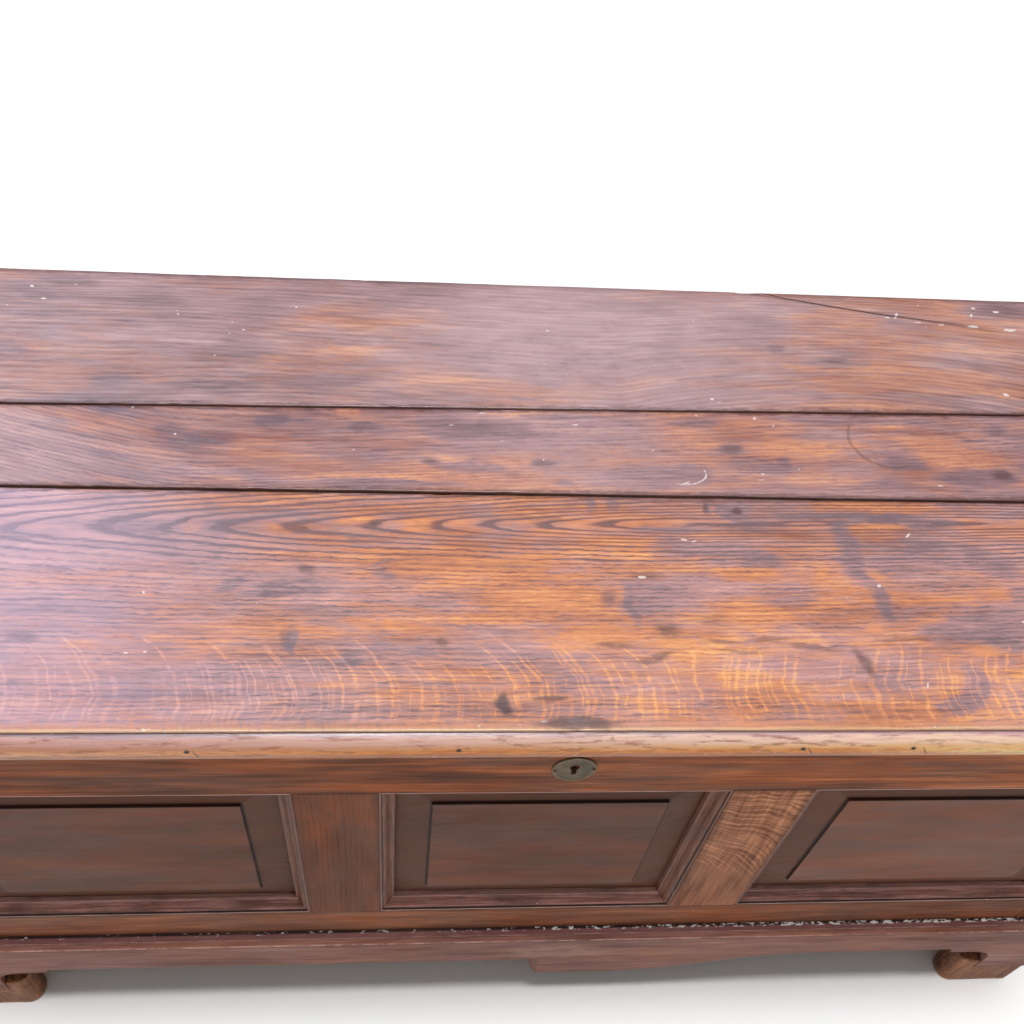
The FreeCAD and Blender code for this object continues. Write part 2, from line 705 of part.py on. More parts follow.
b = body_of("plinth_side")
Y0S, Y1S = "front_face - plinth_out", "(front_face + carcase_depth)"
EY = "(front_face - plinth_out + (%s - ear_edge))" % POUT
EB = "(front_face + carcase_depth - (%s - ear_edge))" % POUT
sk = outline(
    b,
    "YZ_Plane",
    HW,
    [
        [
            (Y0S, "plinth_top", None),
            (Y0S, "foot_high", None),
            (EY, "foot_high", None),
            (EY, "apron_low - ear_step - 29", (27.0, "cw")),
            (EY + " + 27", "apron_low - ear_step - 2", None),
            (EY + " + 60.5", "apron_low - ear_step", None),
            (EY + " + 62", "apron_low", None),
            (EB + " - 62", "apron_low", None),
            (EB + " - 60.5", "apron_low - ear_step", None),
            (EB + " - 27", "apron_low - ear_step - 2", (27.0, "cw")),
            (EB, "apron_low - ear_step - 29", None),
            (EB, "foot_high", None),
            (Y1S, "foot_high", None),
            (Y1S, "plinth_top", None),
        ]
    ],
)
pad(b, sk, "plinth_out")
hollow = outline(
    b,
    "XZ_Plane",
    "0-%s + 5" % Y0S,
    [
        [
            (HW + " + plinth_ledge", "plinth_top + 1", None),
            (HW + " + plinth_ledge", "plinth_top - 1.2", (6.6, "ccw")),
            (POUT, "plinth_top - plinth_hollow", None),
            (POUT + " + 1", "plinth_top - plinth_hollow", None),
            (POUT + " + 1", "plinth_top + 1", None),
        ]
    ],
)
pocket(b, hollow, "carcase_depth + plinth_out + 10")
mitre = outline(b, "XY_Plane", "0.0", [[(HW, "front_face", None), (HW + " - 1", "front_face", None), (HW + " - 1", Y0S + " - 1", None), (POUT + " + 1", Y0S + " - 1", None), (POUT, Y0S, None)]])
pocket(b, mitre, "plinth_top + 10", True)
node("right_plinth_board", b)
node("left_plinth_board", mirrored(b))

# Foot blocks: two arms at a right angle, each with a half-round inner end that stands a little higher.


def foot(corner, s):
    """corner is the Y of the outer corner, s is 1 for a front foot and -1 for a rear one."""
    y = lambda d: "(front_face + (%s) + (%d)*(%s))" % (corner, s, d)
    x = lambda d: "(%s - (%s))" % (POUT, d)
    turn = "cw" if s > 0 else "ccw"
    if s > 0:
        a, c = "ccw", "ccw"
    b = body_of("foot")
    t, f, r = "foot_thick", "foot_face", "foot_thick/2"
    bend = "ccw" if s > 0 else "cw"
    loop = [
        (x("0"), y("0"), None),
        (x("0"), y(f), (r, bend)),
        (x(t), y(f), None),
        (x(t), y(t), None),
        (x(f), y(t), (r, bend)),
        (x(f), y("0"), None),
    ]
    pad(b, outline(b, "XY_Plane", "0.0", [loop]), "foot_high")
    tip = "(%s - 8.4)" % f
    loops = [
        [(x(tip), y("0"), None), (x(tip), y(t), None), (x(f), y(t), (r, bend)), (x(f), y("0"), None)],
        [(x("0"), y(tip), None), (x("0"), y(f), (r, bend)), (x(t), y(f), None), (x(t), y(tip), None)],
    ]
    pad(b, outline(b, "XY_Plane", "foot_high", loops), "foot_tip - foot_high")
    return b


ff = foot("0 - plinth_out", 1)
node("front_right_foot", ff)
node("front_left_foot", mirrored(ff))
rf = foot("carcase_depth", -1)
node("rear_right_foot", rf)
node("rear_left_foot", mirrored(rf))

BLK = "(ear_edge + 1)"
blocks = [box(BLK, HW, "0", POUT + " - ear_edge - plinth_out - 1", "foot_high", "carcase_bottom", "block"), box(BLK, HW, CD + " - 56", CD, "foot_high", "carcase_bottom", "block")]
node("corner_blocks", compound(blocks + [mirrored(blocks[0]), mirrored(blocks[1])]))

# ------------------------------------------------------------------ lid
LT = "(carcase_top + lid_thick)"
LO = "(front_face - lid_out)"


def thumbnail_end(side):
    """Cutter for the thumbnail moulding along an end of the lid, in the XZ plane."""
    s = 1 if side > 0 else -1
    x = lambda d: "(%d)*(lid_half - (%s))" % (s, d)
    pts = [
        (x("lid_arris"), LT + " + 1", None),
        (x("lid_arris"), LT + " - lid_step", ("15.0", "cw" if s > 0 else "ccw")),
        (x("0"), "carcase_top + 8", None),
        (x("0-1"), "carcase_top + 8", None),
        (x("0-1"), LT + " + 1", None),
    ]
    return pts


def lid_board(name, loop, ends=True):
    b = body_of("lid")
    pad(b, outline(b, "XY_Plane", "carcase_top", [loop]), "lid_thick")
    sk = outline(b, "XZ_Plane", "300.0", [thumbnail_end(1), thumbnail_end(-1)])
    pocket(b, sk, "600.0")
    return b


J1 = "(front_face + lid_joint_one)"
front = lid_board("lid_front", [("0-lid_half", LO, None), ("lid_half", LO, None), ("lid_half", J1, None), ("0-lid_half", J1, None)])
nose = outline(
    front,
    "YZ_Plane",
    "0-lid_half - 5",
    [
        [
            (LO + " + lid_arris", LT + " + 1", None),
            (LO + " - 1", LT + " + 1", None),
            (LO + " - 1", "carcase_top - 1", None),
            (LO + " + 5", "carcase_top - 1", None),
            (LO + " + 5", "carcase_top", ("5.0", "cw")),
            (LO, "carcase_top + 5", None),
            (LO, "carcase_top + 8", ("15.0", "cw")),
            (LO + " + lid_arris", LT + " - lid_step", None),
        ]
    ],
)
pocket(front, nose, "2*lid_half + 10", True)
node("lid_front_board", front)
J2 = "(front_face + lid_joint_one + gap_one)"
JL, JR = "(front_face + joint_two_left)", "(front_face + joint_two_right)"
node("lid_middle_board", lid_board("lid_middle", [("0-lid_half", J2, None), ("lid_half", J2, None), ("lid_half", JR, None), ("0-lid_half", JL, None)]))
node("lid_rear_board", lid_board("lid_rear", [("0-lid_half", JL + " + gap_two", None), ("lid_half", JR + " + gap_two", None), ("lid_half", "(front_face + lid_rear)", None), ("0-lid_half", "(front_face + lid_rear)", None)]))

cleat = box(HW + " + 1", HW + " + 1 + cleat_wide", "0", CD + " - 4", "carcase_top - cleat_deep", "carcase_top", "cleat")
node("lid_right_cleat", cleat)
node("lid_left_cleat", mirrored(cleat))

# ------------------------------------------------------------------ hinges
# nail holes are a hair wider than the nails' shanks
STRAP_NAILS = (("0-7", "440"), ("7", "400"), ("0-4", "340"), ("4", "270"), ("0", "203"))
LEAF_NAILS = (("0-9", "20"), ("9", "34"), ("0-7", "56"), ("7", "80"))
PLATE_NAILS = (("0-52.3", "plate_low + 8"), ("52.3", "plate_low + 8"), ("0-52.3", "plate_high - 8"), ("52.3", "plate_high - 8"))
HASP_NAILS = (("0-18", "54"), ("18", "54"), ("0-18", "38"), ("18", "38"))
AZ = "(carcase_top - axis_down)"
LAP = "(axis_back - 4.7)"
b = body_of("strap")
XS = lambda d: "(hinge_at + (%s))" % d
YS = lambda d: "(front_face + (%s))" % d
sk = outline(
    b,
    "XY_Plane",
    "carcase_top - iron_thick",
    [
        [
            (XS("0 - strap_wide/2"), YS(LAP), None),
            (XS("0-8.5"), YS("strap_end + 34"), None),
            (XS("0-8.5"), YS("strap_end + 24"), ("13.0", "ccw")),
            (XS("8.5"), YS("strap_end + 24"), None),
            (XS("8.5"), YS("strap_end + 34"), None),
            (XS("strap_wide/2"), YS(LAP), None),
            (XS("6.8"), YS(LAP), None),
            (XS("6.8"), YS("axis_back"), None),
            (XS("0-6.8"), YS("axis_back"), None),
            (XS("0-6.8"), YS(LAP), None),
        ]
    ],
)
pad(b, sk, "iron_thick")
strap = cut(
    fuse([b, rod("x", "barrel_r", "13.6", "hinge_at - 6.8", "axis_back", AZ)]),
    [rod("x", "bore_r", "20", "hinge_at - 10", "axis_back", AZ)] + [rod("z", "1.55", "iron_thick + 2", "hinge_at + (%s)" % dx, yy, "carcase_top - iron_thick - 1", "hole") for dx, yy in STRAP_NAILS],
    "strap",
)
node("right_hinge_strap", strap)
node("left_hinge_strap", mirrored(strap))
LB = "(%s - 92)" % AZ
leaf = cut(
    fuse(
        [
            box("hinge_at - strap_wide/2", "hinge_at + strap_wide/2", CD, CD + " + iron_thick", LB, AZ + " - 4.7"),
            box("hinge_at - strap_wide/2", "hinge_at - 7.1", CD, CD + " + iron_thick", AZ + " - 4.8", AZ),
            box("hinge_at + 7.1", "hinge_at + strap_wide/2", CD, CD + " + iron_thick", AZ + " - 4.8", AZ),
            rod("x", "barrel_r", "strap_wide/2 - 7.1", "hinge_at - strap_wide/2", "axis_back", AZ),
            rod("x", "barrel_r", "strap_wide/2 - 7.1", "hinge_at + 7.1", "axis_back", AZ),
        ]
    ),
    [rod("x", "bore_r", "strap_wide + 10", "hinge_at - strap_wide/2 - 5", "axis_back", AZ)] + [rod("y", "1.55", "iron_thick + 2", "hinge_at + (%s)" % dx, CD + " - 1", AZ + " - " + dz, "hole") for dx, dz in LEAF_NAILS],
    "leaf",
)
node("right_hinge_leaf", leaf)
node("left_hinge_leaf", mirrored(leaf))
hp = rod("x", "pin_r", "strap_wide + 2", "hinge_at - strap_wide/2 - 1", "axis_back", AZ, "pin")
node("hinge_pins", compound([hp, mirrored(hp)]))

# ------------------------------------------------------------------ lock
KX = lambda d: "key_at + (%s)" % d
b = body_of("escutcheon")
sk = outline(
    b,
    "XZ_Plane",
    "0-front_face",
    [
        [
            (KX("20"), "651.0", ("23.0", "ccw")),
            (KX("0"), "675.0", ("23.0", "ccw")),
            (KX("0-20"), "651.0", ("23.0", "ccw")),
            (KX("0"), "627.0", ("23.0", "ccw")),
        ]
    ],
)
pad(b, sk, "1.6")
node("escutcheon", cut(b, keyhole("-3", "1"), "escutcheon"))

IN = "rail_thick"
plate = cut(
    fuse(
        [
            box(KX("0 - plate_wide/2"), KX("plate_wide/2"), IN, IN + " + lock_iron", "plate_low", "plate_high"),
            rod("y", "2.0", "12", KX("0-26"), IN + " + lock_iron - 0.5", "688", "stud"),
        ]
    ),
    keyhole(IN + " - 1", IN + " + lock_iron + 1") + [rod("y", "1.55", "lock_iron + 2", KX(dx), IN + " - 1", zz, "hole") for dx, zz in PLATE_NAILS],
    "lock_plate",
)
node("lock_plate", plate)

CY0, CY1 = IN + " + lock_iron", IN + " + case_deep + lock_iron"
shell = cut(
    box(KX("0-50"), KX("50"), CY0, CY1, "plate_low + 6", "plate_high - 2"),
    [box(KX("0-48"), KX("48"), CY0 + " - 1", CY1 + " - lock_iron", "plate_low + 8", "plate_high - 4"), box(KX("0-6"), KX("6"), CY0 + " - 1", CY1 + " - 1.2", "plate_high - 5", "plate_high")],
    "case_shell",
)
# the drill pin that centres a barrel key stands on the back of the case
pin = rod("y", "1.6", "13", "key_at", CY1 + " - lock_iron - 12.5", "key_high", "drill_pin")
node("lock_case", fuse([shell, pin]))

BYC = "41.0"
head = box(KX("0-45"), KX("0-5"), BYC + " - bolt_thick/2", BYC + " + bolt_thick/2", "bolt_low", "bolt_low + bolt_tall")
tail = box(KX("0-42"), KX("0-17"), BYC + " - 1.5", BYC + " + 1.5", "666", "bolt_low")
node(
    "lock_bolt",
    cut(
        fuse([head, tail]),
        [
            box(KX("0-26 - bolt_throw"), KX("0-26"), BYC + " - 4", BYC + " + 4", "688 - 2.3", "688 + 2.3"),
            rod("y", "2.3", "8", KX("0-26"), BYC + " - 4", "688"),
            rod("y", "2.3", "8", KX("0-26 - bolt_throw"), BYC + " - 4", "688"),
            box(KX("0-33"), KX("0-22"), BYC + " - 4", BYC + " + 4", "665", "673"),
        ],
        "bolt",
    ),
)

# flat spring that bears on the bolt, bent from one strip and riveted to the plate at its left end
b = body_of("spring")
sk = outline(
    b,
    "XZ_Plane",
    "0-(front_face + 37.8)",
    [
        [
            (KX("0-48"), "700.0", None),
            (KX("0-46.8"), "700.0", None),
            (KX("0-46.8"), "713.0", None),
            (KX("0-12"), "707.6", None),
            (KX("0-9"), "709.4", None),
            (KX("0-9.5"), "710.4", None),
            (KX("0-12.2"), "708.8", None),
            (KX("0-47.1"), "714.4", None),
            (KX("0-48"), "714.0", None),
        ]
    ],
)
pad(b, sk, "6.0", True)
node("bolt_spring", b)

hasp = cut(
    fuse(
        [
            box(KX("0-24"), KX("24"), "31.5", "62", "carcase_top - iron_thick", "carcase_top"),
            box(KX("0-2"), KX("2"), "35.6", "46.4", "bolt_low - 6", "carcase_top - 1"),
        ]
    ),
    [box(KX("0-3"), KX("3"), BYC + " - 3.4", BYC + " + 3.4", "bolt_low - 1", "bolt_low + bolt_tall + 1")] + [rod("z", "1.55", "iron_thick + 2", KX(dx), yy, "carcase_top - iron_thick - 1", "hole") for dx, yy in HASP_NAILS],
    "hasp",
)
node("lid_hasp", hasp)

# ------------------------------------------------------------------ nails
# Hand-made nails: a low faceted head and a tapering shank.


def nail(x, y, z, way, head=3.4, rise=1.5, long=18.0):
    """x, y, z is the seat of the head; way is where the point goes: +z, -z, +y, -y, +x or -x."""
    turn = {"+z": FreeCAD.Rotation(), "-z": FreeCAD.Rotation(V(1, 0, 0), 180), "+y": FreeCAD.Rotation(V(1, 0, 0), -90), "-y": FreeCAD.Rotation(V(1, 0, 0), 90), "+x": FreeCAD.Rotation(V(0, 1, 0), 90), "-x": FreeCAD.Rotation(V(0, 1, 0), -90)}[way]
    shank = new("Part::Cone", "shank")
    shank.Radius1, shank.Radius2, shank.Height = 1.5, 0.5, long
    dome = new("Part::Cone", "dome")
    dome.Radius1, dome.Radius2, dome.Height = head * 0.45, head, rise
    dome.Placement = FreeCAD.Placement(V(0, 0, -rise), FreeCAD.Rotation())
    o = fuse([shank, dome], "nail")
    o.Placement = FreeCAD.Placement(V(0, 0, 0), turn)
    return at(o, x, y, z)


up = []
for side in (1, -1):
    for dx, yy in STRAP_NAILS:
        up.append(nail("(%d)*(hinge_at + (%s))" % (side, dx), yy, "carcase_top - iron_thick", "+z", long=18))
for s in (1, -1):
    for yy in ("30", "120", "205", "250", "300", "360", "430", "475"):
        up.append(nail("(%d)*(%s + 1 + cleat_wide/2)" % (s, HW), yy, "carcase_top - cleat_deep", "+z", head=3.2, long=48))
for dx, yy in HASP_NAILS:
    up.append(nail("key_at + (%s)" % dx, yy, "carcase_top - iron_thick", "+z", head=2.8, rise=1.2, long=15))
node("lid_nails", compound(up))

low = []
for side in (1, -1):
    for dx, dz in LEAF_NAILS:
        low.append(nail("(%d)*(hinge_at + (%s))" % (side, dx), CD + " + iron_thick", AZ + " - " + dz, "-y", long=20))
for xx in ("0-540", "0-320", "0-110", "110", "320", "540"):
    low.append(nail(xx, "41", FT, "-z", long=34))
    low.append(nail(xx, BY0 + " - 11", FT, "-z", long=34))
for dx, zz in PLATE_NAILS:
    low.append(nail("key_at + (%s)" % dx, IN + " + lock_iron", zz, "-y", head=2.2, rise=1.1, long=16))
node("carcase_nails", compound(low))

pins = [nail("key_at + 17.2", "-1.6", "652.5", "+y", head=1.7, rise=0.9, long=12), nail("key_at - 17.2", "-1.6", "649.5", "+y", head=1.7, rise=0.9, long=12)]
for o in pins:
    o.Shapes[0].Radius1, o.Shapes[0].Radius2 = 0.8, 0.4
node("escutcheon_pins", compound(pins))

# ------------------------------------------------------------------ check and write
doc.recompute()
NODES = {k: o for k, o in NODES.items()}
bad = []
for o in doc.Objects:
    if any(s in ("Invalid", "Error") for s in o.State):
        bad.append((o.Name, o.Label, list(o.State)))
if bad:
    raise RuntimeError("objects failed: %s" % bad)
os.makedirs("parts", exist_ok=True)
for name in sorted(os.listdir("parts")):
    if name.endswith(".step") and name[:-5] not in NODES:
        os.remove(os.path.join("parts", name))
for name, o in sorted(NODES.items()):
    shape = o.Shape
    if shape.isNull() or not shape.isValid() or not shape.Solids:
        raise RuntimeError("node %s has no valid solid" % name)
    shape.exportStep(os.path.join("parts", name + ".step"))
    bb = shape.BoundBox
    print("%-26s %2d solid(s) %12.0f mm3  x %8.1f %8.1f  y %8.1f %8.1f  z %7.1f %7.1f" % (name, len(shape.Solids), shape.Volume, bb.XMin, bb.XMax, bb.YMin, bb.YMax, bb.ZMin, bb.ZMax))
print(len(NODES), "nodes")
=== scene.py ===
import json
import math

import bmesh
import bpy
import numpy as np
from mathutils import Matrix, Vector

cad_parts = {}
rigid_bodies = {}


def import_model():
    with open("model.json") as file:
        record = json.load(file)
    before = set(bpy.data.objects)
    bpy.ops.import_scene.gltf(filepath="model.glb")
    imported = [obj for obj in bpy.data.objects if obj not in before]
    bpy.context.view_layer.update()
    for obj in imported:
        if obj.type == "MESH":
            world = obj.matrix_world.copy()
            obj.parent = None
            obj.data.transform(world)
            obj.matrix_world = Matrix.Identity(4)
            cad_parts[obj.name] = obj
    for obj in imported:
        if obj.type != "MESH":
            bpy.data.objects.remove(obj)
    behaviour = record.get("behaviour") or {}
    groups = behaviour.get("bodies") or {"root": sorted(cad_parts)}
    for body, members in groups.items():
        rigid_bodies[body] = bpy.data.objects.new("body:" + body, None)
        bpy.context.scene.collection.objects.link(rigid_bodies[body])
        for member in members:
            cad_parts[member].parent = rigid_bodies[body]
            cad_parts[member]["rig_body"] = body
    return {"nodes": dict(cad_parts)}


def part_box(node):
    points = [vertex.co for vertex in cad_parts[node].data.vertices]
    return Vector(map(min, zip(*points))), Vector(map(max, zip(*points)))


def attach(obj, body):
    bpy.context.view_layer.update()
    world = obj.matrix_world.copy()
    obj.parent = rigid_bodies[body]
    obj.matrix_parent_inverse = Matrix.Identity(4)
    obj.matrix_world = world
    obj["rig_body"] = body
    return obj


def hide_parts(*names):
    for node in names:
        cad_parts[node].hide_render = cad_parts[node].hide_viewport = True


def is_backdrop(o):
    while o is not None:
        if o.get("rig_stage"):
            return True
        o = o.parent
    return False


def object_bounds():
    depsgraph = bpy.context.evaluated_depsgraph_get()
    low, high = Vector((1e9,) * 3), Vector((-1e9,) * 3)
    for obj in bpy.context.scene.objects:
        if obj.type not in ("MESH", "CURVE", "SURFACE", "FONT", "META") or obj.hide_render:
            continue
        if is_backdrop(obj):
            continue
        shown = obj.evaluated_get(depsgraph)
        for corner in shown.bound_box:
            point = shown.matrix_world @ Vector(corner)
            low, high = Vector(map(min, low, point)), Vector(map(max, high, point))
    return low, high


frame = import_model()
CAD_LOW, CAD_HIGH = [Vector(c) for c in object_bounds()]
NODES = frame["nodes"]
BODY = {n: o["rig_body"] for n, o in NODES.items()}
scene = bpy.context.scene


# ====================================================================== numbers
def limits(node):
    """Low and high corner of a node, in millimetres."""
    lo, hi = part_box(node)
    return np.array(lo) * 1000.0, np.array(hi) * 1000.0


def hashed(i, j, k, seed):
    n = (i * 374761393 + j * 668265263 + k * 1274126177 + seed * 974634777) & 0xFFFFFFFF
    n = n.astype(np.uint64)
    n = ((n ^ (n >> np.uint64(13))) * np.uint64(1274126177)) & np.uint64(0xFFFFFFFF)
    n = ((n ^ (n >> np.uint64(16))) * np.uint64(2246822519)) & np.uint64(0xFFFFFFFF)
    return ((n ^ (n >> np.uint64(15))) & np.uint64(0xFFFFFF)).astype(float) / float(0xFFFFFF)


def rough_field(p, size, seed=0, octaves=2):
    """Smooth noise from -1 to 1 at points p (N, 3) in millimetres. size is one feature or three."""
    q = np.asarray(p, float) / np.asarray(size, float)
    total, amp, norm = np.zeros(len(q)), 1.0, 0.0
    for o in range(octaves):
        c = np.floor(q).astype(np.int64)
        f = q - c
        f = f * f * f * (f * (f * 6 - 15) + 10)
        acc = np.zeros(len(q))
        for a in (0, 1):
            for b in (0, 1):
                for d in (0, 1):
                    w = (f[:, 0] if a else 1 - f[:, 0]) * (f[:, 1] if b else 1 - f[:, 1]) * (f[:, 2] if d else 1 - f[:, 2])
                    acc += w * hashed(c[:, 0] + a, c[:, 1] + b, c[:, 2] + d, seed + 17 * o)
        total += amp * (acc * 2 - 1)
        norm += amp
        amp *= 0.5
        q = q * 2.03 + 11.7
    return total / norm


def ease(t, a, b):
    t = np.clip((t - a) / (b - a), 0, 1)
    return t * t * (3 - 2 * t)


def from_srgb(r, g, b):
    def f(c):
        c = c / 255.0
        return c / 12.92 if c <= 0.04045 else ((c + 0.055) / 1.055) ** 2.4

    return (f(r), f(g), f(b), 1.0)


# ====================================================================== meshes
def new_object(name, verts_mm, faces, body, nodes=(), smooth_angle=35.0, weighted=True):
    me = bpy.data.meshes.new(name)
    me.from_pydata((np.asarray(verts_mm, float) / 1000.0).tolist(), [], faces)
    me.update()
    return finish_object(name, me, body, nodes, smooth_angle, weighted)


def finish_object(name, me, body, nodes=(), smooth_angle=35.0, weighted=True):
    me.validate()
    me.polygons.foreach_set("use_smooth", [True] * len(me.polygons))
    me.set_sharp_from_angle(angle=math.radians(smooth_angle))
    ob = bpy.data.objects.new(name, me)
    scene.collection.objects.link(ob)
    if weighted:
        m = ob.modifiers.new("normals", "WEIGHTED_NORMAL")
        m.mode = "FACE_AREA"
        m.keep_sharp = True
    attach(ob, body)
    if nodes:
        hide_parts(*nodes)
    return ob


def cleaned(node):
    """A bmesh of a CAD node in millimetres, with its flat faces merged."""
    bm = bmesh.new()
    bm.from_mesh(NODES[node].data)
    bmesh.ops.scale(bm, vec=(1000, 1000, 1000), verts=bm.verts)
    bmesh.ops.remove_doubles(bm, verts=bm.verts, dist=0.004)
    bmesh.ops.dissolve_limit(bm, angle_limit=math.radians(0.6), verts=bm.verts, edges=bm.edges, use_dissolve_boundaries=False)
    bm.normal_update()
    return bm


def member(node, bevel=1.0, step=(22.0, 22.0, 22.0), amp=0.3, size=60.0, seed=1, segments=2, name=None, sharp_from=28.0, extra=None, angle=35.0):
    """A CAD node made again with eased arrises, cut into cells and worn a little inwards, so that it stays inside the node."""
    bm = cleaned(node)
    if bevel:
        hard = [e for e in bm.edges if len(e.link_faces) == 2 and e.calc_face_angle_signed() > math.radians(sharp_from) and e.calc_length() > 1.2]
        bmesh.ops.bevel(bm, geom=hard, offset=bevel, offset_type="OFFSET", segments=segments, profile=0.5, affect="EDGES", clamp_overlap=True)
    co = np.array([v.co for v in bm.verts])
    lo, hi = co.min(0), co.max(0)
    for axis in range(3):
        if not step[axis]:
            continue
        count = int((hi[axis] - lo[axis]) / step[axis])
        for i in range(1, count + 1):
            at = lo[axis] + (hi[axis] - lo[axis]) * i / (count + 1)
            point, normal = [0, 0, 0], [0, 0, 0]
            point[axis], normal[axis] = at, 1
            bmesh.ops.bisect_plane(bm, geom=list(bm.verts) + list(bm.edges) + list(bm.faces), dist=0.002, plane_co=point, plane_no=normal)
    bm.normal_update()
    bm.verts.ensure_lookup_table()
    co = np.array([v.co for v in bm.verts])
    no = np.array([v.normal for v in bm.verts])
    if amp:
        n = rough_field(co, size, seed, 2) * 0.5 + 0.5
        n2 = rough_field(co + 300, (size * 0.3, size * 0.3, size * 0.3), seed + 5, 1) * 0.5 + 0.5
        d = amp * (0.75 * n + 0.25 * n2)
        if extra is not None:
            d = d + extra(co, no)
        co = co - no * d[:, None]
        for v, c in zip(bm.verts, co):
            v.co = c
    bmesh.ops.scale(bm, vec=(0.001, 0.001, 0.001), verts=bm.verts)
    me = bpy.data.meshes.new(name or node + "_v")
    bm.to_mesh(me)
    bm.free()
    return finish_object(name or node + "_v", me, BODY[node], (node,), angle)


# ====================================================================== shader arithmetic
class N:
    """A value inside a node tree that can be added, multiplied and so on."""

    def __init__(self, g, socket):
        self.g, self.socket = g, socket

    def __add__(self, o):
        return self.g.math("ADD", self, o)

    __radd__ = __add__

    def __sub__(self, o):
        return self.g.math("SUBTRACT", self, o)

    def __rsub__(self, o):
        return self.g.math("SUBTRACT", o, self)

    def __mul__(self, o):
        return self.g.math("MULTIPLY", self, o)

    __rmul__ = __mul__

    def __truediv__(self, o):
        return self.g.math("DIVIDE", self, o)

    def __neg__(self):
        return self.g.math("MULTIPLY", self, -1.0)


class Graph:
    def __init__(self, name):
        self.material = bpy.data.materials.new(name)
        self.material.use_nodes = True
        self.tree = self.material.node_tree
        self.tree.nodes.clear()
        tc = self.tree.nodes.new("ShaderNodeTexCoord")
        vm = self.tree.nodes.new("ShaderNodeVectorMath")
        vm.operation = "SCALE"
        vm.inputs["Scale"].default_value = 1000.0
        self.tree.links.new(tc.outputs["Object"], vm.inputs[0])
        self.P = N(self, vm.outputs[0])
        sep = self.tree.nodes.new("ShaderNodeSeparateXYZ")
        self.tree.links.new(vm.outputs[0], sep.inputs[0])
        self.x, self.y, self.z = (N(self, s) for s in sep.outputs)
        geo = self.tree.nodes.new("ShaderNodeNewGeometry")
        turn = self.tree.nodes.new("ShaderNodeVectorTransform")
        turn.vector_type, turn.convert_from, turn.convert_to = "NORMAL", "WORLD", "OBJECT"
        self.tree.links.new(geo.outputs["Normal"], turn.inputs[0])
        sep = self.tree.nodes.new("ShaderNodeSeparateXYZ")
        self.tree.links.new(turn.outputs[0], sep.inputs[0])
        self.nx, self.ny, self.nz = (N(self, s) for s in sep.outputs)

    def put(self, socket, value):
        if isinstance(value, N):
            self.tree.links.new(value.socket, socket)
        else:
            socket.default_value = value

    def math(self, op, *args, clamp=False):
        n = self.tree.nodes.new("ShaderNodeMath")
        n.operation, n.use_clamp = op, clamp
        for s, a in zip(n.inputs, args):
            self.put(s, a)
        return N(self, n.outputs[0])

    def lowest(self, *v):
        out = v[0]
        for o in v[1:]:
            out = self.math("MINIMUM", out, o)
        return out

    def highest(self, *v):
        out = v[0]
        for o in v[1:]:
            out = self.math("MAXIMUM", out, o)
        return out

    def clamp(self, v):
        return self.math("ADD", v, 0.0, clamp=True)

    def root(self, v):
        return self.math("SQRT", v)

    def size(self, v):
        return self.math("ABSOLUTE", v)

    def vec(self, x, y, z):
        n = self.tree.nodes.new("ShaderNodeCombineXYZ")
        for s, a in zip(n.inputs, (x, y, z)):
            self.put(s, a)
        return N(self, n.outputs[0])

    def noise(self, q, size, detail=2.0, rough=0.5, seed=0.0, dist=0.0):
        """Noise from 0 to 1 with features of that size in millimetres along each axis of q."""
        size = size if hasattr(size, "__len__") else (size,) * 3
        m = self.tree.nodes.new("ShaderNodeMapping")
        m.vector_type = "POINT"
        self.put(m.inputs["Vector"], q)
        m.inputs["Scale"].default_value = [1.0 / s for s in size]
        m.inputs["Location"].default_value = (seed * 3.17, seed * 1.31 + 7.7, seed * 2.23 - 4.1)
        n = self.tree.nodes.new("ShaderNodeTexNoise")
        self.tree.links.new(m.outputs[0], n.inputs["Vector"])
        n.inputs["Scale"].default_value = 1.0
        n.inputs["Detail"].default_value = detail
        n.inputs["Roughness"].default_value = rough
        n.inputs["Distortion"].default_value = dist
        return N(self, n.outputs["Fac"])

    def cells(self, q, size, seed=0.0, feature="F1", random=1.0):
        size = size if hasattr(size, "__len__") else (size,) * 3
        m = self.tree.nodes.new("ShaderNodeMapping")
        m.vector_type = "POINT"
        self.put(m.inputs["Vector"], q)
        m.inputs["Scale"].default_value = [1.0 / s for s in size]
        m.inputs["Location"].default_value = (seed * 3.17, seed * 1.31 + 7.7, seed * 2.23 - 4.1)
        n = self.tree.nodes.new("ShaderNodeTexVoronoi")
        n.feature = feature
        self.tree.links.new(m.outputs[0], n.inputs["Vector"])
        n.inputs["Scale"].default_value = 1.0
        n.inputs["Randomness"].default_value = random
        return N(self, n.outputs["Distance"])

    def ramp(self, v, a, b, lo=0.0, hi=1.0, kind="SMOOTHSTEP"):
        n = self.tree.nodes.new("ShaderNodeMapRange")
        n.interpolation_type = kind
        n.clamp = True
        self.put(n.inputs["Value"], v)
        n.inputs["From Min"].default_value = a
        n.inputs["From Max"].default_value = b
        n.inputs["To Min"].default_value = lo
        n.inputs["To Max"].default_value = hi
        return N(self, n.outputs["Result"])

    def mix(self, fac, a, b, mode="MIX"):
        n = self.tree.nodes.new("ShaderNodeMix")
        n.data_type, n.blend_type, n.clamp_factor = "RGBA", mode, True
        self.put(n.inputs[0], fac)
        self.put(n.inputs[6], a)
        self.put(n.inputs[7], b)
        return N(self, n.outputs[2])

    def blend(self, fac, a, b):
        n = self.tree.nodes.new("ShaderNodeMix")
        n.data_type, n.clamp_factor = "FLOAT", True
        self.put(n.inputs[0], fac)
        self.put(n.inputs[2], a)
        self.put(n.inputs[3], b)
        return N(self, n.outputs[0])

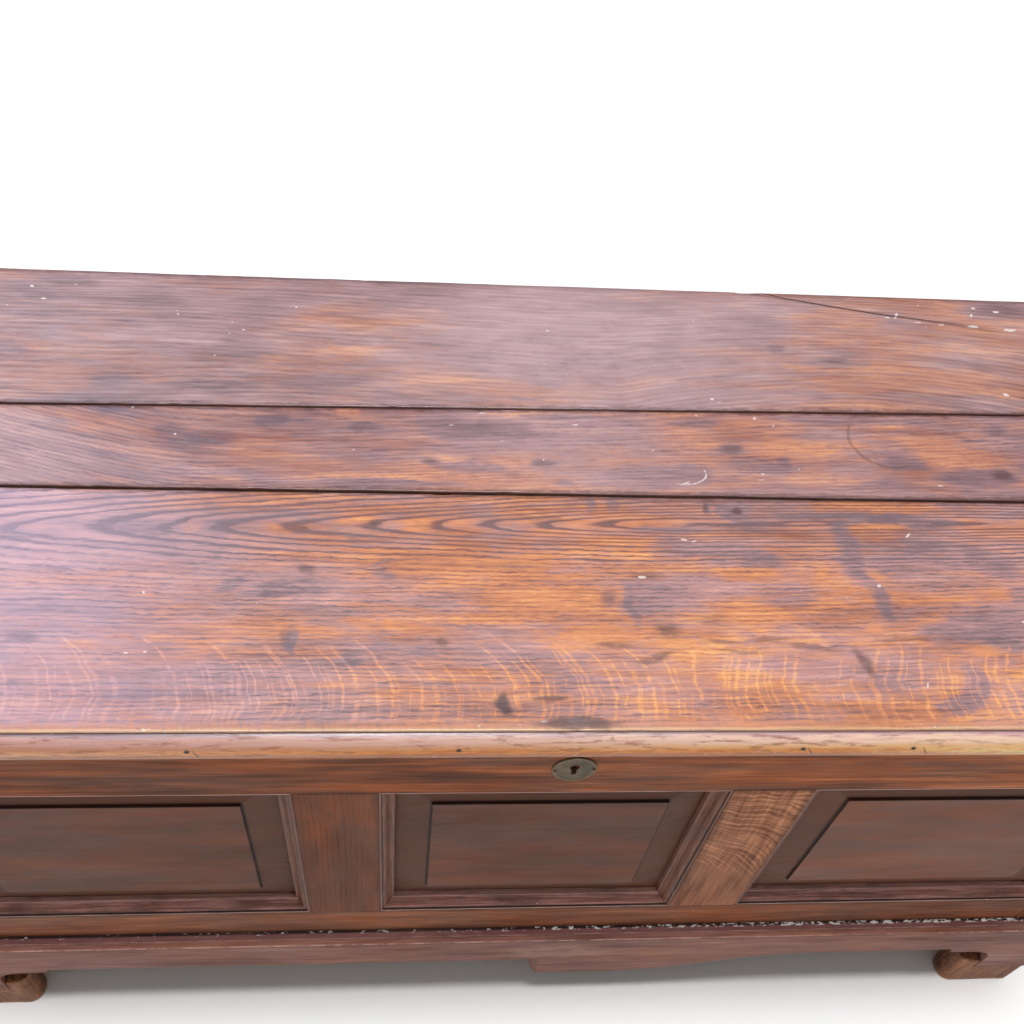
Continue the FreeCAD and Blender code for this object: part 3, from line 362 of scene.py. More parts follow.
    def done(self, color, roughness, height=None, metallic=0.0, specular=0.5, coat=0.0, coat_rough=0.25, ior=1.5, depth=1.0, metal_map=None):
        """height is in millimetres."""
        t = self.tree
        out = t.nodes.new("ShaderNodeOutputMaterial")
        b = t.nodes.new("ShaderNodeBsdfPrincipled")
        t.links.new(b.outputs[0], out.inputs[0])
        self.put(b.inputs["Base Color"], color)
        self.put(b.inputs["Roughness"], roughness)
        b.inputs["Metallic"].default_value = metallic
        if metal_map is not None:
            self.put(b.inputs["Metallic"], metal_map)
        b.inputs["IOR"].default_value = ior
        b.inputs["Specular IOR Level"].default_value = specular
        b.inputs["Coat Weight"].default_value = coat
        b.inputs["Coat Roughness"].default_value = coat_rough
        if height is not None:
            bump = t.nodes.new("ShaderNodeBump")
            bump.inputs["Strength"].default_value = 1.0
            bump.inputs["Distance"].default_value = 0.001 * depth
            self.put(bump.inputs["Height"], height)
            t.links.new(bump.outputs[0], b.inputs["Normal"])
        return self.material


# ====================================================================== tones
TOP_LIGHT = 1.16
FRONT_LIGHT = 0.55
FRONT_VEIL = (0.022, 0.022, 0.023)
PANEL_MARGIN = 49.5 + 9.0


def seen(rgb, light=1.1, veil=0.035):
    """Base colour that reads as rgb once it is lit that strongly, less the shine that lies over it."""
    veil = veil if hasattr(veil, "__len__") else (veil,) * 3
    return tuple(min(max((c - v) / light, 0.004), 0.93) for c, v in zip(from_srgb(*rgb)[:3], veil)) + (1.0,)


def tones(g, v, colors, places=(0.08, 0.36, 0.62, 0.92)):
    """A run of base colours from dark to light, picked by v from 0 to 1."""
    n = g.tree.nodes.new("ShaderNodeValToRGB")
    ramp = n.color_ramp
    ramp.interpolation = "LINEAR"
    while len(ramp.elements) < len(colors):
        ramp.elements.new(0.5)
    for e, c, p in zip(ramp.elements, colors, places):
        e.position = p
    for e, c in zip(ramp.elements, colors):
        e.color = c
    g.put(n.inputs[0], v)
    return N(g, n.outputs[0])


def chance(g, i, seed=0.0):
    """Three random values from 0 to 1 for a whole number."""
    n = g.tree.nodes.new("ShaderNodeTexWhiteNoise")
    n.noise_dimensions = "2D"
    g.tree.links.new(g.vec(i, seed, 0.0).socket, n.inputs["Vector"])
    s = g.tree.nodes.new("ShaderNodeSeparateColor")
    g.tree.links.new(n.outputs["Color"], s.inputs[0])
    return [N(g, o) for o in s.outputs]


def vectors(g, operation, *args):
    n = g.tree.nodes.new("ShaderNodeVectorMath")
    n.operation = operation
    for s, a in zip(n.inputs, args):
        g.put(s, a)
    return n


def mapped(g, q, cx, cy, rx, ry, turn=0.0):
    """q in the frame of an ellipse: its rim is at length 1."""
    if not turn:
        return N(g, vectors(g, "MULTIPLY_ADD", q, (1.0 / rx, 1.0 / ry, 0.0), (-cx / rx, -cy / ry, 0.0)).outputs[0])
    c, s = math.cos(math.radians(turn)), math.sin(math.radians(turn))
    a = N(g, vectors(g, "DOT_PRODUCT", q, (c / rx, s / rx, 0.0)).outputs["Value"]) - (cx * c + cy * s) / rx
    b = N(g, vectors(g, "DOT_PRODUCT", q, (-s / ry, c / ry, 0.0)).outputs["Value"]) - (cy * c - cx * s) / ry
    return g.vec(a, b, 0.0)


def length(g, v):
    return N(g, vectors(g, "LENGTH", v).outputs["Value"])


def spots(g, q, rows, soft=0.6):
    """Strongest of a set of soft ellipses: rows of centre x, centre y, half length, half height, strength and turn in degrees."""
    out = None
    for row in rows:
        cx, cy, rx, ry, k = row[:5]
        turn = row[5] if len(row) > 5 else 0.0
        m = g.ramp(length(g, mapped(g, q, cx, cy, rx, ry, turn)), 1.0 - soft, 1.0 + soft, k, 0.0)
        out = m if out is None else g.highest(out, m)
    return out


def arcs(g, q, rows):
    """Strongest of a set of tapering crescents: centre x, centre y, radius x, radius y, turn of its thick side, thickness as a share of the radius, strength."""
    out = None
    for cx, cy, rx, ry, turn, thick, k in rows:
        # the ellipse itself stays level; only its thick side turns
        m = mapped(g, q, cx, cy, rx, ry)
        t = math.radians(turn)
        toward = N(g, vectors(g, "DOT_PRODUCT", m, (math.cos(t), math.sin(t), 0.0)).outputs["Value"])
        d = g.size(length(g, m) - 1.0)
        side = g.ramp(toward, -0.1, 0.9)
        a = g.ramp(d - side * (thick * 0.5), 0.0, thick * 0.6, k, 0.0) * g.ramp(toward, 0.0, 0.5)
        out = a if out is None else g.highest(out, a)
    return out


# ====================================================================== oak
def oak(
    name,
    grain="x",
    face="z",
    middle=(0.0, 0.0, 0.0),
    cool=((120, 90, 90), (150, 116, 112), (176, 138, 130), (200, 160, 146)),
    warm=((120, 80, 66), (156, 106, 84), (186, 132, 98), (214, 158, 114)),
    light=1.1,
    veil=0.035,
    hue=0.5,
    hue_range=1.0,
    level=0.5,
    contrast=1.0,
    pith=(0.0, -80.0),
    tilt=(0.0, 0.0),
    run=None,
    sweep=None,
    ring=5.0,
    wander=(5.0, 1.2),
    thick=0.50,
    squash=None,
    faint=0.12,
    jitter=0.0,
    glow=0.0,
    lines=0.20,
    band=0.0,
    pores=0.16,
    fine=1.0,
    medium=1.0,
    coarse=1.0,
    cloud=1.0,
    dash=(22.0, 1.6),
    rays=None,
    smoke=0.0,
    seed=1.0,
    tone=None,
    paint=None,
    rough=(0.34, 0.5),
    coat=0.25,
    coat_rough=0.22,
    relief=1.0,
    specular=0.5,
    edges=None,
    edge_dirt=0.4,
    edge_size=7.0,
    raw=None,
):
    """Old polished oak. grain is the axis along the board, face the axis its show face looks along.
    The rings are drawn round a pith line that may tilt. cool and warm are the tones that are seen, from dark to light."""
    g = Graph(name)
    see = lambda rgb: seen(rgb, light, veil)
    g.see = see
    axes = {"x": g.x - middle[0], "y": g.y - middle[1], "z": g.z - middle[2]}
    other = [a for a in "xyz" if a not in (grain, face)][0]
    u, v, w = axes[grain], axes[other], axes[face]
    g.u, g.v, g.w = u, v, w
    g.q = g.vec(u, v, w)
    vs = v + sweep(g, u, v) if sweep else v
    q = g.vec(u, vs, w) if sweep else g.q
    g.flow = q

    # rings round the pith
    slow = g.noise(q, (420, 120, 120), 1.0, 0.4, seed) - 0.5
    quick = g.noise(q, (95, 16, 16), 2.0, 0.5, seed + 3) - 0.5
    dv = vs - pith[0] + u * tilt[0]
    if squash:
        # the rings crowd together near the pith line and lie further apart away from it
        dv = g.size(dv)
        dv = g.lowest(dv * squash[0], dv * squash[1] + squash[2])
    dw = run(g, u) + w if run else w - pith[1] + u * tilt[1]
    r = g.root(dv * dv + dw * dw) + slow * (wander[0] * 4.0) + quick * (wander[1] * 4.0)
    if jitter:
        r = r + (g.noise(q, (13.0, 3.2, 3.2), 2.0, 0.55, seed + 7) - 0.5) * (jitter(g, u, v) if callable(jitter) else jitter)
    uneven = g.noise(g.vec(r, 0.0, 0.0), (17.0, 1, 1), 2.0, 0.5, seed + 9) - 0.5
    t = r / ring + uneven * 1.6
    f = g.math("FRACT", t)
    early = g.ramp(f, 0.0, 0.10) * g.ramp(f, 0.14, thick, 1.0, 0.0)
    # the rings fade in and out, and are made of short dashes of open pores
    power = g.ramp(g.noise(q, (130, 20, 20), 2.0, 0.5, seed + 4), 0.34, 0.60, faint, 1.0)
    broken = g.ramp(g.noise(q, (dash[0] * 1.2, dash[1], dash[1]), 3.0, 0.62, seed + 5), 0.38, 0.58)
    line = g.clamp(early * (broken * 0.65 + 0.35) * power)
    pore = g.ramp(g.noise(q, (8, 0.8, 0.8), 2.0, 0.6, seed + 6), 0.53, 0.68) * (early * 0.65 + 0.35)
    g.early, g.line, g.ring_f = early, line, f

    fibre = g.noise(q, (dash[0], dash[1], dash[1]), 4.0, 0.62, seed + 11) - 0.5
    mids = g.noise(q, (58, 5.2, 5.2), 2.0, 0.55, seed + 13) - 0.5
    wides = g.noise(q, (105, 15, 15), 2.0, 0.55, seed + 15) - 0.5
    clouds = g.noise(q, (210, 70, 70), 3.0, 0.55, seed + 17) - 0.5
    h = fibre * (0.95 * fine) + mids * (0.75 * medium) + wides * (0.6 * coarse) + clouds * (0.75 * cloud)
    h = h - line * lines
    if glow:
        # warm light strips of late wood between the lines
        late = g.ramp(f, 0.35, 0.62) * g.ramp(f, 0.80, 1.0, 1.0, 0.0) * g.ramp(g.noise(q, (70, 9, 9), 2.0, 0.55, seed + 19), 0.40, 0.60)
        h = h + late * glow
    if not (isinstance(band, float) and band == 0.0):
        h = h - early * (band(g, u, v) if callable(band) else band)
    ray = None
    if rays:
        # pale ribbons of ray across the grain, each with a place, a width and a strength of its own
        lean, mid, bow = rays.get("lean", 0.4), rays.get("mid", 0.0), rays.get("bow", 0.0)
        lean = lean(g, u) if callable(lean) else lean
        bow = bow(g, u) if callable(bow) else bow
        vv = v - mid
        along = u + vv * lean + (g.noise(g.q, (60, 26, 26), 2.0, 0.55, seed + 23) - 0.5) * rays.get("sway", 22.0)
        along = along + vv * vv * bow
        for k, pitch in enumerate(rays.get("pitch", (17.0, 9.0))):
            s = along / pitch + 3.3 * k
            i = g.math("FLOOR", s)
            r1, r2, r3 = chance(g, i, seed + 1.7 * k)
            d = g.size(s - i - (r1 * 0.5 + 0.25)) * pitch
            wide = r2 * rays.get("wide", 1.2) + 0.7
            thin = g.ramp(d / wide, 0.25, 1.0, 1.0, 0.0)
            reach = rays.get("reach", 22.0)
            ends = g.ramp(g.size(vv - (r3 - 0.5) * reach) - (r2 * 0.5 + 0.5) * reach, -8.0, 2.0, 1.0, 0.0)
            one = thin * ends * (r3 * 0.7 + 0.3)
            ray = one if ray is None else g.highest(ray, one)
        ray = ray * g.ramp(g.noise(g.q, (16, 9, 9), 2.0, 0.6, seed + 27), 0.34, 0.52)
        if "mask" in rays:
            ray = ray * rays["mask"](g, u, v, w)
        h = h + ray * rays.get("power", 0.3)
        g.ray = ray
    level = level(g, u, v, w) if callable(level) else level
    h = h * contrast + level
    hues = (g.noise(q, (180, 52, 52), 3.0, 0.55, seed + 31) - 0.5) * (3.2 * hue_range) + (g.noise(q, (52, 8, 8), 2.0, 0.6, seed + 33) - 0.5) * (1.3 * hue_range)
    hue = hue(g, u, v, w) if callable(hue) else hue
    m = hues + hue
    if glow:
        m = m + late * (glow * 0.8) - line * (lines * 0.3)
    if ray is not None:
        gild = rays.get("gild", 0.0)
        m = m + ray * (gild(g, u) if callable(gild) else gild)
    if smoke:
        # grey smoky patches where old wax and dirt were never rubbed off
        fog = g.noise(g.q, (62, 24, 24), 3.0, 0.55, seed + 35)
        fog = g.ramp(fog + mids * 0.35, 0.53, 0.66) * smoke
        m = m - fog * 0.9
        h = h - fog * 0.17
    g.h, g.m = h, m
    if tone:
        h, m = tone(g, h, m)
    m, h = g.clamp(m), g.clamp(h)
    color = g.mix(m, tones(g, h, [see(c) for c in cool]), tones(g, h, [see(c) for c in warm]))
    color = g.mix(pore * pores, color, (0.02, 0.012, 0.012, 1.0))
    height = line * (-0.05 * relief) - pore * (0.08 * relief) + fibre * (0.09 * relief)
    if ray is not None:
        height = height + ray * (0.02 * relief)
    rub = g.noise(q, (55, 35, 35), 3.0, 0.6, seed + 29)
    roughness = g.blend(rub, rough[0], rough[1]) + line * 0.10 + pore * 0.12
    if edges:
        # dirt along the edges of the board
        near = None
        for axis, at in edges:
            d = g.size({"x": g.x, "y": g.y, "z": g.z}[axis] - at)
            near = d if near is None else g.lowest(near, d)
        wavy = near + (g.noise(q, (30, 12, 12), 3.0, 0.6, seed + 37) - 0.5) * (edge_size * 1.4)
        color = g.mix(g.ramp(wavy, 0.0, edge_size, 1.0, 0.0) * edge_dirt, color, (0.03, 0.02, 0.018, 1.0))
    if paint:
        color, roughness, height = paint(g, color, roughness, height)
    if raw:
        # faces that were never polished: sawn, grey-brown, dry
        mask = raw(g)
        saw = g.noise(q, (2.2, 60, 60), 2.0, 0.55, seed + 41) - 0.5
        dull = g.mix(g.clamp(0.5 + fibre * 1.2 + wides * 1.8), from_srgb(112, 88, 70), from_srgb(158, 130, 106))
        dull = g.mix(line * 0.55, dull, from_srgb(78, 58, 46))
        dull = g.mix(g.ramp(clouds, -0.1, 0.2) * 0.5, dull, from_srgb(84, 64, 52))
        color = g.mix(mask, color, dull)
        roughness = g.blend(mask, roughness, 0.86)
        height = height + saw * mask * 0.22
    return g.done(color, g.clamp(roughness), height, coat=coat, coat_rough=coat_rough, specular=specular)


# ====================================================================== lid boards
LID_TOP, LID_LOW = 752.4, 727.4
LID_X = 690.0
ARRIS = 13.1


def thumbnail():
    """Section of the lid's moulded edge as (inset, height), from the flat top down to the underside."""
    out = [(ARRIS + 1.6, 0.0), (ARRIS + 0.75, -0.12), (ARRIS + 0.2, -0.6), (ARRIS, -1.5), (ARRIS - 0.1, -2.45), (ARRIS - 0.55, -2.75)]
    cx, cy, r = 15.0, -17.48, 15.0
    a0, a1 = math.atan2(14.72, -2.6), math.atan2(0.48, -15.0)
    for i in range(8):
        a = a0 + (a1 - a0) * i / 7
        out.append((max(cx + r * math.cos(a), 0.0), cy + r * math.sin(a)))
    out += [(0.0, -20.0)]
    for i in range(1, 5):
        a = math.pi + math.pi / 2 * i / 4
        out.append((5.0 + 5.0 * math.cos(a), -20.0 + 5.0 * math.sin(a)))
    out.append((9.0, -25.0))
    return out


def square_edge(count, ease_top=1.5, ease_low=1.0):
    """Section of a plain edge with the same number of points."""
    out = [(ease_top, 0.0), (ease_top * 0.45, -ease_top * 0.2), (ease_top * 0.12, -ease_top * 0.6), (0.0, -ease_top * 1.2)]
    rest = count - 6
    for i in range(1, rest):
        out.append((0.0, -ease_top * 1.2 - (23.5 - ease_top * 1.2) * i / rest))
    out += [(0.0, -25.0 + ease_low), (ease_low * 0.3, -25.0 + ease_low * 0.3), (ease_low, -25.0)]
    return out


def plank(name, node, y_front, y_back, front_section, back_section, seed, across, dents=(), ragged=0.6, sag=0.5, crack=None):
    """A lid board. y_front and y_back give the edges for an array of x. The ends carry the thumbnail moulding."""
    end = thumbnail()
    count = len(end)
    front = front_section or square_edge(count)
    back = back_section or square_edge(count)
    nx, ny = 261, across
    inner = end[0][0]
    xs = np.linspace(-LID_X + inner, LID_X - inner, nx)
    # worn wobble of the two long edges, always into the board
    line = np.c_[xs, np.zeros(nx), np.zeros(nx)]
    wob_f = (rough_field(line, (46, 1, 1), seed + 1, 3) * 0.5 + 0.5) ** 2 * ragged
    wob_b = (rough_field(line, (38, 1, 1), seed + 2, 3) * 0.5 + 0.5) ** 2 * ragged
    chips_f = ease(rough_field(line, (23, 1, 1), seed + 3, 2), 0.42, 0.8) * ragged * 1.6
    chips_b = ease(rough_field(line, (27, 1, 1), seed + 4, 2), 0.42, 0.8) * ragged * 1.6
    ts = np.linspace(0, 1, ny)
    f0 = y_front(xs)
    b0 = y_back(xs)

    def ring_points(k):
        """Boundary points of ring k, from the back left corner round the front to the back right corner and along the back."""
        ei, ez = end[k]
        fi, fz = front[k]
        bi, bz = back[k]
        fade = max(0.0, 1.0 - k / 9.0)
        pts = {}
        nose = front_section is not None
        for i in range(nx):
            pts[(i, 0)] = [xs[i], f0[i] + fi + (wob_f[i] + chips_f[i]) * (0.35 if nose else 1.0) * fade, fz]
            pts[(i, ny - 1)] = [xs[i], b0[i] - bi - (wob_b[i] + chips_b[i]) * fade, bz]
        for side, i, s in ((-1, 0, 1), (1, nx - 1, -1)):
            edge_x = side * LID_X
            yf, yb = pts[(i, 0)][1], pts[(i, ny - 1)][1]
            base_f = f0[i] + front[0][0]
            base_b = b0[i] - back[0][0]
            for j in range(ny):
                t = ts[j]
                y = base_f + (base_b - base_f) * t
                if j == 0:
                    y = yf
                if j == ny - 1:
                    y = yb
                pts[(i, j)] = [edge_x + s * ei, y, ez]
        return pts

    verts, index = [], {}
    grid = np.zeros((nx, ny), int)
    top = ring_points(0)
    for i in range(nx):
        yf = top[(i, 0)][1]
        yb = top[(i, ny - 1)][1]
        for j in range(ny):
            grid[i, j] = len(verts)
            if (i, j) in top:
                verts.append(top[(i, j)])
            else:
                verts.append([xs[i], yf + (yb - yf) * ts[j], 0.0])
    loop = [(0, j) for j in range(ny - 1, -1, -1)] + [(i, 0) for i in range(1, nx)] + [(nx - 1, j) for j in range(1, ny)] + [(i, ny - 1) for i in range(nx - 2, 0, -1)]
    rings = [[grid[a, b] for a, b in loop]]
    for k in range(1, count):
        pts = ring_points(k)
        rings.append([])
        for key in loop:
            rings[-1].append(len(verts))
            verts.append(pts[key])
    low = np.zeros((nx, ny), int)
    last = dict(zip(loop, rings[-1]))
    lowest = ring_points(count - 1)
    for i in range(nx):
        yf = lowest[(i, 0)][1]
        yb = lowest[(i, ny - 1)][1]
        for j in range(ny):
            if (i, j) in last:
                low[i, j] = last[(i, j)]
            else:
                low[i, j] = len(verts)
                verts.append([xs[i], yf + (yb - yf) * ts[j], -25.0])
    faces = []
    for i in range(nx - 1):
        for j in range(ny - 1):
            faces.append((grid[i, j], grid[i + 1, j], grid[i + 1, j + 1], grid[i, j + 1]))
            faces.append((low[i, j], low[i, j + 1], low[i + 1, j + 1], low[i + 1, j]))
    total = len(loop)
    for a, b in zip(rings[:-1], rings[1:]):
        for n in range(total):
            m = (n + 1) % total
            faces.append((a[n], b[n], b[m], a[m]))
    co = np.array(verts, float)
    # the polished top is not quite flat, and its edges and nose are worn
    depth = -co[:, 2]
    up = np.clip(1.0 - depth / 14.0, 0, 1)
    flat = np.c_[co[:, 0], co[:, 1], np.zeros(len(co))]
    fall = (rough_field(flat, (260, 70, 1), seed + 7, 2) * 0.5 + 0.5) * sag + (rough_field(flat, (34, 17, 1), seed + 8, 2) * 0.5 + 0.5) * 0.16
    for cx, cy, rx, ry, deep in dents:
        d = ((co[:, 0] - cx) / rx) ** 2 + ((co[:, 1] - cy) / ry) ** 2
        fall = fall + deep * np.exp(-d * 1.6)
    co[:, 2] -= fall * up
    nose = (depth > 0.3) & (depth < 22)
    worn = (rough_field(co + 50, (60, 60, 20), seed + 9, 2) * 0.5 + 0.5) * 0.35
    nick = ease(rough_field(co * 1.0, (16, 16, 7), seed + 12, 1), 0.62, 0.95) * 0.9
    push = np.where(nose, worn + nick * np.clip((depth - 1.5) / 3, 0, 1), 0.0)
    if front_section is not None:
        inward = np.clip((f0.mean() + 14 - co[:, 1]) / 14, 0, 1)
        co[:, 1] += push * inward
    left = np.clip((-LID_X + 14 - co[:, 0]) / 14, 0, 1)
    right = np.clip((co[:, 0] - (LID_X - 14)) / 14, 0, 1)
    co[:, 0] += push * left - push * right
    under = depth > 24.9
    co[under, 2] += (rough_field(co[under], (90, 40, 1), seed + 14, 2) * 0.5 + 0.5) * 0.5
    co[:, 2] += LID_TOP
    ob = new_object(name, co, faces, "lid", (node,), smooth_angle=50.0)
    if crack:
        for part in crack:
            carve(ob, part)
    return ob


def carve(ob, path):
    """Cuts a thin open crack along path: a list of (x, y, half width); the depth is the last number."""
    points, deep = path
    bm = bmesh.new()
    left, right = [], []
    for n, (x, y, half) in enumerate(points):
        a = points[max(n - 1, 0)]
        b = points[min(n + 1, len(points) - 1)]
        dx, dy = b[0] - a[0], b[1] - a[1]
        ln = math.hypot(dx, dy)
        left.append((x - dy / ln * half, y + dx / ln * half))
        right.append((x + dy / ln * half, y - dx / ln * half))
    outline = left + right[::-1]
    top = [bm.verts.new((x / 1000, y / 1000, (LID_TOP + 2) / 1000)) for x, y in outline]
    low = [bm.verts.new((x / 1000, y / 1000, (LID_TOP - deep) / 1000)) for x, y in outline]
    n = len(outline)
    bm.faces.new(top)
    bm.faces.new(low[::-1])
    for i in range(n):
        j = (i + 1) % n
        bm.faces.new((top[i], low[i], low[j], top[j]))
    bmesh.ops.recalc_face_normals(bm, faces=bm.faces)
    me = bpy.data.meshes.new("cut")
    bm.to_mesh(me)
    bm.free()
    cutter = bpy.data.objects.new("cut", me)
    scene.collection.objects.link(cutter)
    m = ob.modifiers.new("crack", "BOOLEAN")
    m.operation, m.object, m.solver = "DIFFERENCE", cutter, "EXACT"
    while ob.modifiers[0].name != "crack":
        with bpy.context.temp_override(object=ob, active_object=ob):
            bpy.ops.object.modifier_move_up(modifier="crack")
    bpy.context.view_layer.update()
    dg = bpy.context.evaluated_depsgraph_get()
    keep = [x for x in ob.modifiers if x.name != "crack"]
    for x in keep:
        x.show_viewport = False
    dg.update()
    made = bpy.data.meshes.new_from_object(ob.evaluated_get(dg), depsgraph=dg)
    for x in keep:
        x.show_viewport = True
    ob.modifiers.remove(m)
    old = ob.data
    ob.data = made
    made.name = old.name
    bpy.data.meshes.remove(old)
    bpy.data.objects.remove(cutter)
    made.set_sharp_from_angle(angle=math.radians(50.0))


def straight(y):
    return lambda xs: np.full(len(xs), float(y))


def slanted(a, b):
    return lambda xs: a + (b - a) * (xs + LID_X) / (2 * LID_X)


FRONT_DENTS = [(63, -145, 7, 4, 0.9), (112, -77, 11, 6, 0.7), (-58, -232, 6, 4, 0.9), (-243, -123, 14, 4, 0.7), (-5, -250, 12, 4, 1.0), (250, -179, 5, 9, 0.5), (386, -84, 9, 6, 0.6), (-440, -70, 10, 5, 0.6), (-520, -200, 12, 3, 0.5), (520, -150, 8, 6, 0.7), (600, -230, 10, 4, 0.6)]
lid_front = plank("lid_front_board_v", "lid_front_board", straight(-266.6), straight(-16.8), thumbnail(), None, 100, 60, FRONT_DENTS, ragged=0.7, sag=0.5)
lid_middle = plank("lid_middle_board_v", "lid_middle_board", straight(-14.6), slanted(78.5, 98.5), None, None, 200, 26, [(40, 26, 9, 5, 0.6), (-53, 61, 8, 4, 0.6), (318, 45, 16, 3, 0.8)], ragged=0.8, sag=0.6)
lid_rear = plank(
    "lid_rear_board_v",
    "lid_rear_board",
    slanted(80.1, 100.1),
    straight(266.6),
    None,
    square_edge(len(thumbnail()), 2.4),
    300,
    44,
    [(215, 160, 7, 12, 0.8), (-300, 200, 12, 5, 0.5), (520, 230, 12, 4, 0.8)],
    ragged=0.9,
    sag=0.7,
    crack=[([(222, 270, 0.7), (262, 258, 0.6), (318, 246, 0.65), (372, 236, 0.5), (430, 228.5, 0.4), (492, 220, 0.12)], 9.0)],
)


# ====================================================================== frame, panels, plinth and feet
def axis_step(node, along=20.0, other=26.0):
    lo, hi = limits(node)
    d = hi - lo
    long = int(np.argmax(d))
    step = [other if d[a] > other * 1.6 else 0 for a in range(3)]
    step[long] = along
    return tuple(step)


FRAME = ["front_top_rail", "front_bottom_rail", "front_left_muntin", "front_right_muntin", "front_left_post", "front_right_post", "rear_left_post", "rear_right_post"]
FRAME += ["left_end_top_rail", "left_end_bottom_rail", "right_end_top_rail", "right_end_bottom_rail", "back_top_rail", "back_bottom_rail", "back_muntin"]
PANELS = ["front_left_panel", "front_centre_panel", "front_right_panel", "left_end_panel", "right_end_panel", "back_left_panel", "back_right_panel"]
STRIPS = ["front_left_mouldings", "front_centre_mouldings", "front_right_mouldings", "left_end_mouldings", "right_end_mouldings"]
PLINTH = ["front_plinth_board", "left_plinth_board", "right_plinth_board"]
FEET = ["front_left_foot", "front_right_foot", "rear_left_foot", "rear_right_foot"]
ROUGH = ["corner_blocks", "floor_front_board", "floor_middle_board", "floor_rear_board", "floor_ledgers", "lid_left_cleat", "lid_right_cleat"]

made = {}
for n, node in enumerate(FRAME):
    made[node] = member(node, bevel=0.9, step=axis_step(node), amp=0.32, size=75.0, seed=400 + n)
for n, node in enumerate(PANELS):
    made[node] = member(node, bevel=0.5, step=axis_step(node, 28, 28), amp=0.25, size=90.0, seed=430 + n, sharp_from=12.0)
for n, node in enumerate(STRIPS):
    made[node] = member(node, bevel=0.35, step=axis_step(node, 14, 14), amp=0.28, size=24.0, seed=450 + n, angle=40.0)
for n, node in enumerate(PLINTH):
    made[node] = member(node, bevel=1.0, step=axis_step(node, 16, 20), amp=0.4, size=60.0, seed=470 + n, angle=40.0)
for n, node in enumerate(FEET):
    made[node] = member(node, bevel=1.8, step=(9.0, 9.0, 9.0), amp=0.9, size=26.0, seed=480 + n, segments=3, angle=50.0)
for n, node in enumerate(ROUGH):
    made[node] = member(node, bevel=0.7, step=axis_step(node, 30, 30), amp=0.3, size=60.0, seed=490 + n)
made["lid_front_board"], made["lid_middle_board"], made["lid_rear_board"] = lid_front, lid_middle, lid_rear


# ====================================================================== finishes
def paint_with(ob, material):
    ob.data.materials.clear()
    ob.data.materials.append(material)
    for p in ob.data.polygons:
        p.material_index = 0


def loosened(g, far=16.0, size=30.0, seed=51.0):
    """The board's own coordinates pushed about a little, so that marks get uneven outlines."""
    a = g.noise(g.q, (size * 1.3, size * 0.8, size), 3.0, 0.6, seed) - 0.5
    b = g.noise(g.q, (size * 1.3, size * 0.8, size), 3.0, 0.6, seed + 6.0) - 0.5
    return g.vec(g.u + a * (far * 1.5), g.v + b * far, 0.0)


# ---- lid, front board
def lid_front_run(g, u):
    a = u * -1.0 + 96.0
    return (g.root(a * a + 1200.0) + a) * 0.045 + 7.0


def fleck_bow(g, u):
    """The rays bulge to the right on the left half of the board and to the left further on."""
    return g.ramp(u, 10.0, 150.0, 0.0105, -0.005)


FRONT_SMOKE = [
    (262, -74, 36, 11, 0.95, -82), (274, -122, 28, 7, 0.9, -76), (225, -36, 40, 4, 0.8), (300, -38, 50, 6, 1.0), (345, -43, 24, 8, 0.8), (322, -84, 56, 30, 0.5),
    (389, -89, 26, 14, 0.9, -25), (379, -153, 36, 24, 0.75), (330, -164, 24, 12, 0.9), (407, -122, 12, 10, 0.8), (195, -124, 26, 13, 0.65), (222, -152, 20, 14, 0.4),
    (-291, -116, 12, 5, 0.8, 35), (-243, -125, 32, 5, 0.9), (-255, -120, 14, 6, 0.9), (-234, -171, 5, 12, 1.0), (-159, -107, 10, 6, 0.8), (-159, -94, 12, 3, 0.6, 20), (-186, -188, 8, 7, 0.7),
    (100, -75, 26, 12, 0.8), (142, -79, 36, 11, 0.55), (178, -88, 22, 8, 0.5), (95, -54, 38, 4.5, 0.9), (53, -136, 5, 20, 0.9, 8), (74, -130, 24, 26, 0.45), (162, -33, 18, 8, 0.8), (135, -29, 4, 9, 0.7),
    (26, -25, 5, 11, 0.7), (47, -27, 5, 10, 0.7), (-371, -60, 28, 9, 0.9), (-444, -139, 28, 10, 0.6), (-520, -80, 50, 10, 0.5), (500, -60, 40, 12, 0.8), (560, -140, 60, 16, 0.6), (610, -210, 30, 12, 0.6), (-600, -190, 40, 10, 0.5),
]
FRONT_STAINS = [
    (-225, -102, 8, 4, 0.8, 15), (-169, -51, 6, 3.5, 0.9), (-111, -174, 6, 3.5, 0.8), (33, -127, 7, 6, 0.7), (81, -160, 12, 7, 0.85), (33, -175, 11, 3.5, 0.8, -8), (67, -186, 20, 3.5, 0.8, 12),
    (248, -192, 14, 4, 0.9, -68), (-448, -168, 11, 4.5, 0.95), (-428, -105, 11, 1.6, 0.95), (-468, -69, 20, 2.2, 0.8), (-448, -212, 6, 3, 0.9), (66, -106, 12, 4, 0.6), (-240, -168, 4, 6, 0.6),
    (118, -150, 16, 4, 0.4), (-60, -96, 26, 3, 0.4), (-20, -44, 30, 3, 0.5), (160, -50, 24, 3, 0.6), (208, -176, 22, 2.5, 0.7), (168, -168, 20, 2.2, 0.7), (122, -171, 14, 2.6, 0.7), (140, -180, 16, 2.2, 0.6), (290, -168, 26, 2.6, 0.6), (470, -180, 24, 5, 0.6),
]
